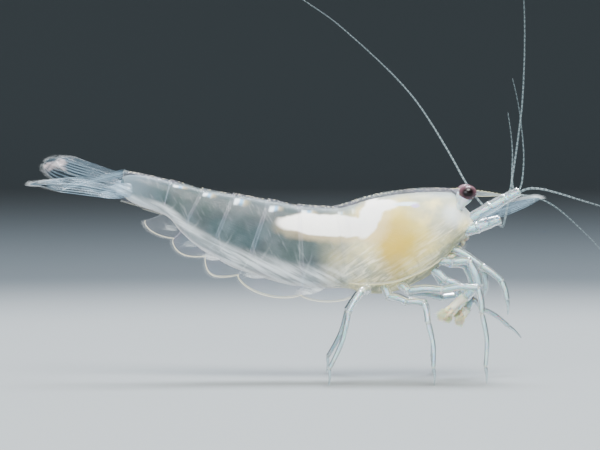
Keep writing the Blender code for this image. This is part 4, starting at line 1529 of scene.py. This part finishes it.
class SHRIMP_OT_antennae(ShrimpOperator, bpy.types.Operator):
    """Models the stalks, scales and the six long feelers of the head"""

    bl_idname = "shrimp.antennae"
    bl_label = "Feelers"

    def execute(self, context):
        skin = limb_cuticle(self.colours)
        core = soft_white("milky stalk muscle", self.colours.muscle, linear("#B7CAD1"), grain=1.6)
        membrane = fin_membrane("ribbed scale", ribs=0.5, haze=0.05)
        hair = bristle_chitin()
        chance = random.Random(context.scene.shrimp_studio.seed + 2)
        sizes = self.sizes
        width = sizes.bristle_width / MM
        for side, sign in SIDES.items():
            for name, joints in (("antennule_stalk", ANTENNULE_STALK), ("antenna_base", ANTENNA_BASE)):
                joints = mirrored(joints, sign)
                pieces = jointed(name, joints, skin, core, bend=0.0, fill=0.78)
                stalk = smooth(join(f"{name}_{side}_joints", pieces), 60)
                fit(stalk, "shell", f"{name}_{side}")
                # One joint more in front, because the hairs leave out the first two segments.
                places = leg_bristles([joints[0], *joints], chance, spacing=0.10, size=0.24)
                fit(plant(f"{name}_{side}_hairs", places, width, hair), "shell")
            self.scale(side, sign, membrane, hair, chance)
        for name, points in FEELERS.items():
            points = mirrored(points, SIDES[name.split("_")[-1]])
            long = name.startswith("antenna_")
            base = (sizes.antenna_width if long else sizes.antennule_width) / MM
            if "inner" in name:
                base *= 0.8
            _, total = lay_line(points, 10)
            rings = max(8, round(total / (sizes.feeler_ring / MM)))
            radius = ringed(rings, base, sizes.feeler_tip_width / MM)
            finish = ringed_chitin(self.colours, rings)
            feeler = tube(name + "_rings", points, radius, 4 * rings, 8, finish, ease=False)
            fit(smooth(feeler, 60), "feeler", name)
        return {"FINISHED"}

    def scale(self, side, sign, membrane, hair, chance):
        """The antennal scale, a thin leaf with a stiff outer edge and a fringed inner one."""
        root, tip = (Vector((x, y * sign, z)) for x, y, z in (SCALE_ROOT, SCALE_TIP))
        tilt = math.radians(SCALE_TILT)
        outwards = Vector((0, sign * math.cos(tilt), -math.sin(tilt)))
        along = (tip - root).normalized()
        edge = (outwards - along * outwards.dot(along)).normalized()
        normal = along.cross(edge)
        if normal.z < 0:
            normal.negate()
        span = (tip - root).length

        def place(u, v):
            share, w = math.sin(math.radians(90) * u), 2 * v - 1
            half = 0.56 * leaf(share, 0.5, 0.4, 0.35)
            if w > 0:
                half = 0.56 * min(leaf(share, 0.5, 0.3, 0.2), 0.92)
            return root + along * (span * share) + edge * (half * w) + normal * 0.10 * (1 - w * w)

        name = f"antennal_scale_{side}"
        blade = sheet(name + "_blade", (44, 24), place, membrane)
        face_up(blade, along, edge, normal)
        wall(blade, self.sizes.fin_thickness, offset=0.0)
        fit(blade, "fin", name)
        places = []
        for i in range(90):
            u = 0.2 + 0.79 * (i + 0.5) / 90
            spot, inner = place(u, 0.0), place(u, 0.5)
            lean = ((spot - inner).normalized() + along * 1.3).normalized()
            reach = self.sizes.fringe_length / MM * 0.7 * chance.uniform(0.8, 1.1)
            places.append((spot, lean * reach, along * 0.1))
        fit(plant(name + "_fringe", places, self.sizes.bristle_width / MM, hair), "fin")


# Each pair of swimmerets, front to back: its paddles' length beside the first pair's, their
# half width in mm, and the number of hairs on each.
SWIMMERETS = ((1.0, 0.42, 34), (1.0, 0.40, 34), (0.85, 0.38, 26), (0.7, 0.28, 12), (0.42, 0.20, 6))


class SHRIMP_OT_swimmerets(ShrimpOperator, bpy.types.Operator):
    """Models five pairs of folded, fringed swimmerets between the side flaps"""

    bl_idname = "shrimp.swimmerets"
    bl_label = "Swimmerets"

    def execute(self, context):
        finish = veil("thin milky paddle", linear("#E3E8E8"), most=0.62)
        faint = veil("faint milky paddle", self.colours.streak, most=0.2)
        core = veil("milky swimmeret stem", linear("#E3E8E8"), most=0.75)
        hair = bristle_chitin()
        chance = random.Random(context.scene.shrimp_studio.seed + 3)
        slope = math.radians(17)
        for number, (reach_share, size, hairs) in enumerate(SWIMMERETS):
            full = number < 3  # the last two pairs are small and nearly clear
            front, back = tail_row(number), tail_row(number + 1)
            tail_ward = Vector((back[2] - front[2], 0, back[3] - front[3])).normalized()
            down = Vector((tail_ward.z, 0, -tail_ward.x))
            if down.z > 0:
                down.negate()
            along = tail_ward * math.cos(slope) + down * math.sin(slope)
            below = down * math.cos(slope) - tail_ward * math.sin(slope)
            root_row = tail_row(number + 0.34)
            width = tail_row(number + 0.5)[6] - 0.5

            def radius(share):
                return size * math.sin(math.pi * min(1, share * 0.9 + 0.1)) ** 0.7 if share < 1 else 0

            for side, sign in SIDES.items():
                y = sign * (0.5 * width + 0.03)
                root = Vector((root_row[2], y, root_row[3])) + below * 0.25 - along * 0.5
                stem = [root, root + along * 0.6, root + along * 1.2]
                pieces = [tube("stem", stem, bone(0.40, 0.30), 14, 14, core)] if full else []
                places = []
                for spread, long in ((0.16, 2.1), (-0.14, 1.9))[: 2 if full else 1]:
                    long *= reach_share
                    lean = (along + below * spread).normalized()
                    start = root + along * (0.95 if full else 0.35)
                    line = [start, start + lean * long * 0.5 + below * 0.04, start + lean * long]
                    look = finish if full else faint
                    pieces.append(tube("paddle", line, radius, 18, 12, look, flat=0.4))
                    for _ in range(hairs):
                        share = chance.uniform(0.2, 1.0)
                        way = chance.choice((-1, 1))
                        spot = start + lean * long * share + below * way * 0.2 * (1 - share)
                        sway = Vector((0, chance.uniform(-0.2, 0.2), 0))
                        reach = (lean + below * way * 0.5 + sway).normalized()
                        places.append((spot, reach * chance.uniform(0.3, 0.5), lean * 0.1))
                name = f"swimmeret_{number + 1}_{side}"
                fit(smooth(join(name + "_paddles", pieces), 60), "fin", name)
                fit(plant(name + "_hairs", places, self.sizes.bristle_width / MM, hair), "fin")
        return {"FINISHED"}


class SHRIMP_OT_studio(ShrimpOperator, bpy.types.Operator):
    """Sets up the round paper table, the soft lights and the camera"""

    bl_idname = "shrimp.studio"
    bl_label = "Studio"

    def execute(self, context):
        studio = context.scene.shrimp_studio
        # A round table of that radius, whose paper turns up in a curve into a low wall, in mm.
        flat, curve, tall = 480.0, 140.0, 260.0

        def place(u, v):
            run = u * (flat + curve * math.pi / 2 + tall)
            turn = min(max((run - flat) / curve, 0.0), math.pi / 2)
            out = min(run, flat) + curve * math.sin(turn)
            up = curve * (1 - math.cos(turn)) + max(0.0, run - flat - curve * math.pi / 2)
            turned = 2 * math.pi * v
            return (out * math.cos(turned), out * math.sin(turned), up)

        paper = sheet("paper_table", (80, 96), place, studio_paper(studio.floor, studio.backdrop))
        merge(paper, 0.01)
        if paper.data.polygons[0].normal.z < 0:
            edit(paper, (bpy.ops.mesh.flip_normals, {}))
        smooth(paper, 60)
        middle = world((0, 0, 9.3))  # the place that the camera looks at
        self.lamp("key", (0.04, -0.19, 0.27), middle, 0.20, studio.key_power, "#FFFDF8")
        self.lamp("fill", (-0.16, -0.30, 0.06), middle, 0.22, studio.fill_power, "#F4F8FF")
        self.lamp("rim", (0.03, 0.10, 0.24), middle, 0.12, studio.rim_power, "#F2F6FF")
        world_settings = bpy.data.worlds.new("soft_room")
        world_settings.use_nodes = True
        room = world_settings.node_tree.nodes["Background"]
        room.inputs[0].default_value = (*linear("#DDE4EA"), 1.0)
        room.inputs[1].default_value = 0.40
        context.scene.world = world_settings
        height = studio.camera_height
        away = studio.camera_distance
        bpy.ops.object.camera_add(
            location=middle + Vector((0, -math.cos(height), math.sin(height))) * away,
            rotation=(math.radians(90) - height, 0, 0),
        )
        camera = context.object
        camera.data.lens = 200
        camera.data.sensor_width = 36
        camera.data.clip_start = 0.01
        context.scene.camera = camera
        return {"FINISHED"}

    def lamp(self, name, place, target, size, power, hex_colour):
        """A round soft light aimed at the target, with its place counted from there in metres."""
        bpy.ops.object.light_add(type="AREA", location=target + Vector(place))
        lamp = bpy.context.object
        lamp.name = name
        lamp.rotation_euler = Vector(place).to_track_quat("Z", "Y").to_euler()
        lamp.data.shape = "DISK"
        lamp.data.size = size
        lamp.data.energy = power
        lamp.data.color = linear(hex_colour)
        lamp.visible_camera = False


STEPS = (
    SHRIMP_OT_flesh, SHRIMP_OT_mouth, SHRIMP_OT_shield, SHRIMP_OT_tail, SHRIMP_OT_fan,
    SHRIMP_OT_fan_roots, SHRIMP_OT_eyes, SHRIMP_OT_antennae, SHRIMP_OT_legs,
    SHRIMP_OT_swimmerets, SHRIMP_OT_studio,
)  # fmt: skip


class SHRIMP_PT_sidebar(bpy.types.Panel):
    """Lists the sizes, colours and steps"""

    bl_idname = "SHRIMP_PT_sidebar"
    bl_label = "Pearl shrimp"
    bl_space_type = "VIEW_3D"
    bl_region_type = "UI"
    bl_category = "Shrimp"

    def draw(self, context):
        for group_name in GROUPS:
            group = getattr(context.scene, group_name)
            box = self.layout.box()
            for name in group.__annotations__:
                box.prop(group, name)
        for step in STEPS:
            self.layout.operator(step.bl_idname)


GROUPS = {"shrimp_sizes": ShrimpSizes, "shrimp_colours": ShrimpColours, "shrimp_studio": ShrimpStudio}


def register():
    for group in (*GROUPS.values(), *STEPS, SHRIMP_PT_sidebar):
        bpy.utils.register_class(group)
    for name, group in GROUPS.items():
        setattr(bpy.types.Scene, name, PointerProperty(type=group))


def unregister():
    for name in GROUPS:
        delattr(bpy.types.Scene, name)
    for group in reversed((*GROUPS.values(), *STEPS, SHRIMP_PT_sidebar)):
        bpy.utils.unregister_class(group)


def main():
    """Builds the whole model and its studio."""
    register()
    bpy.ops.shrimp.flesh()
    bpy.ops.shrimp.mouth()
    bpy.ops.shrimp.shield()
    bpy.ops.shrimp.tail()
    bpy.ops.shrimp.fan()
    bpy.ops.shrimp.fan_roots()
    bpy.ops.shrimp.eyes()
    bpy.ops.shrimp.antennae()
    bpy.ops.shrimp.legs()
    bpy.ops.shrimp.swimmerets()
    bpy.ops.shrimp.studio()


if __name__ == "__main__":
    main()
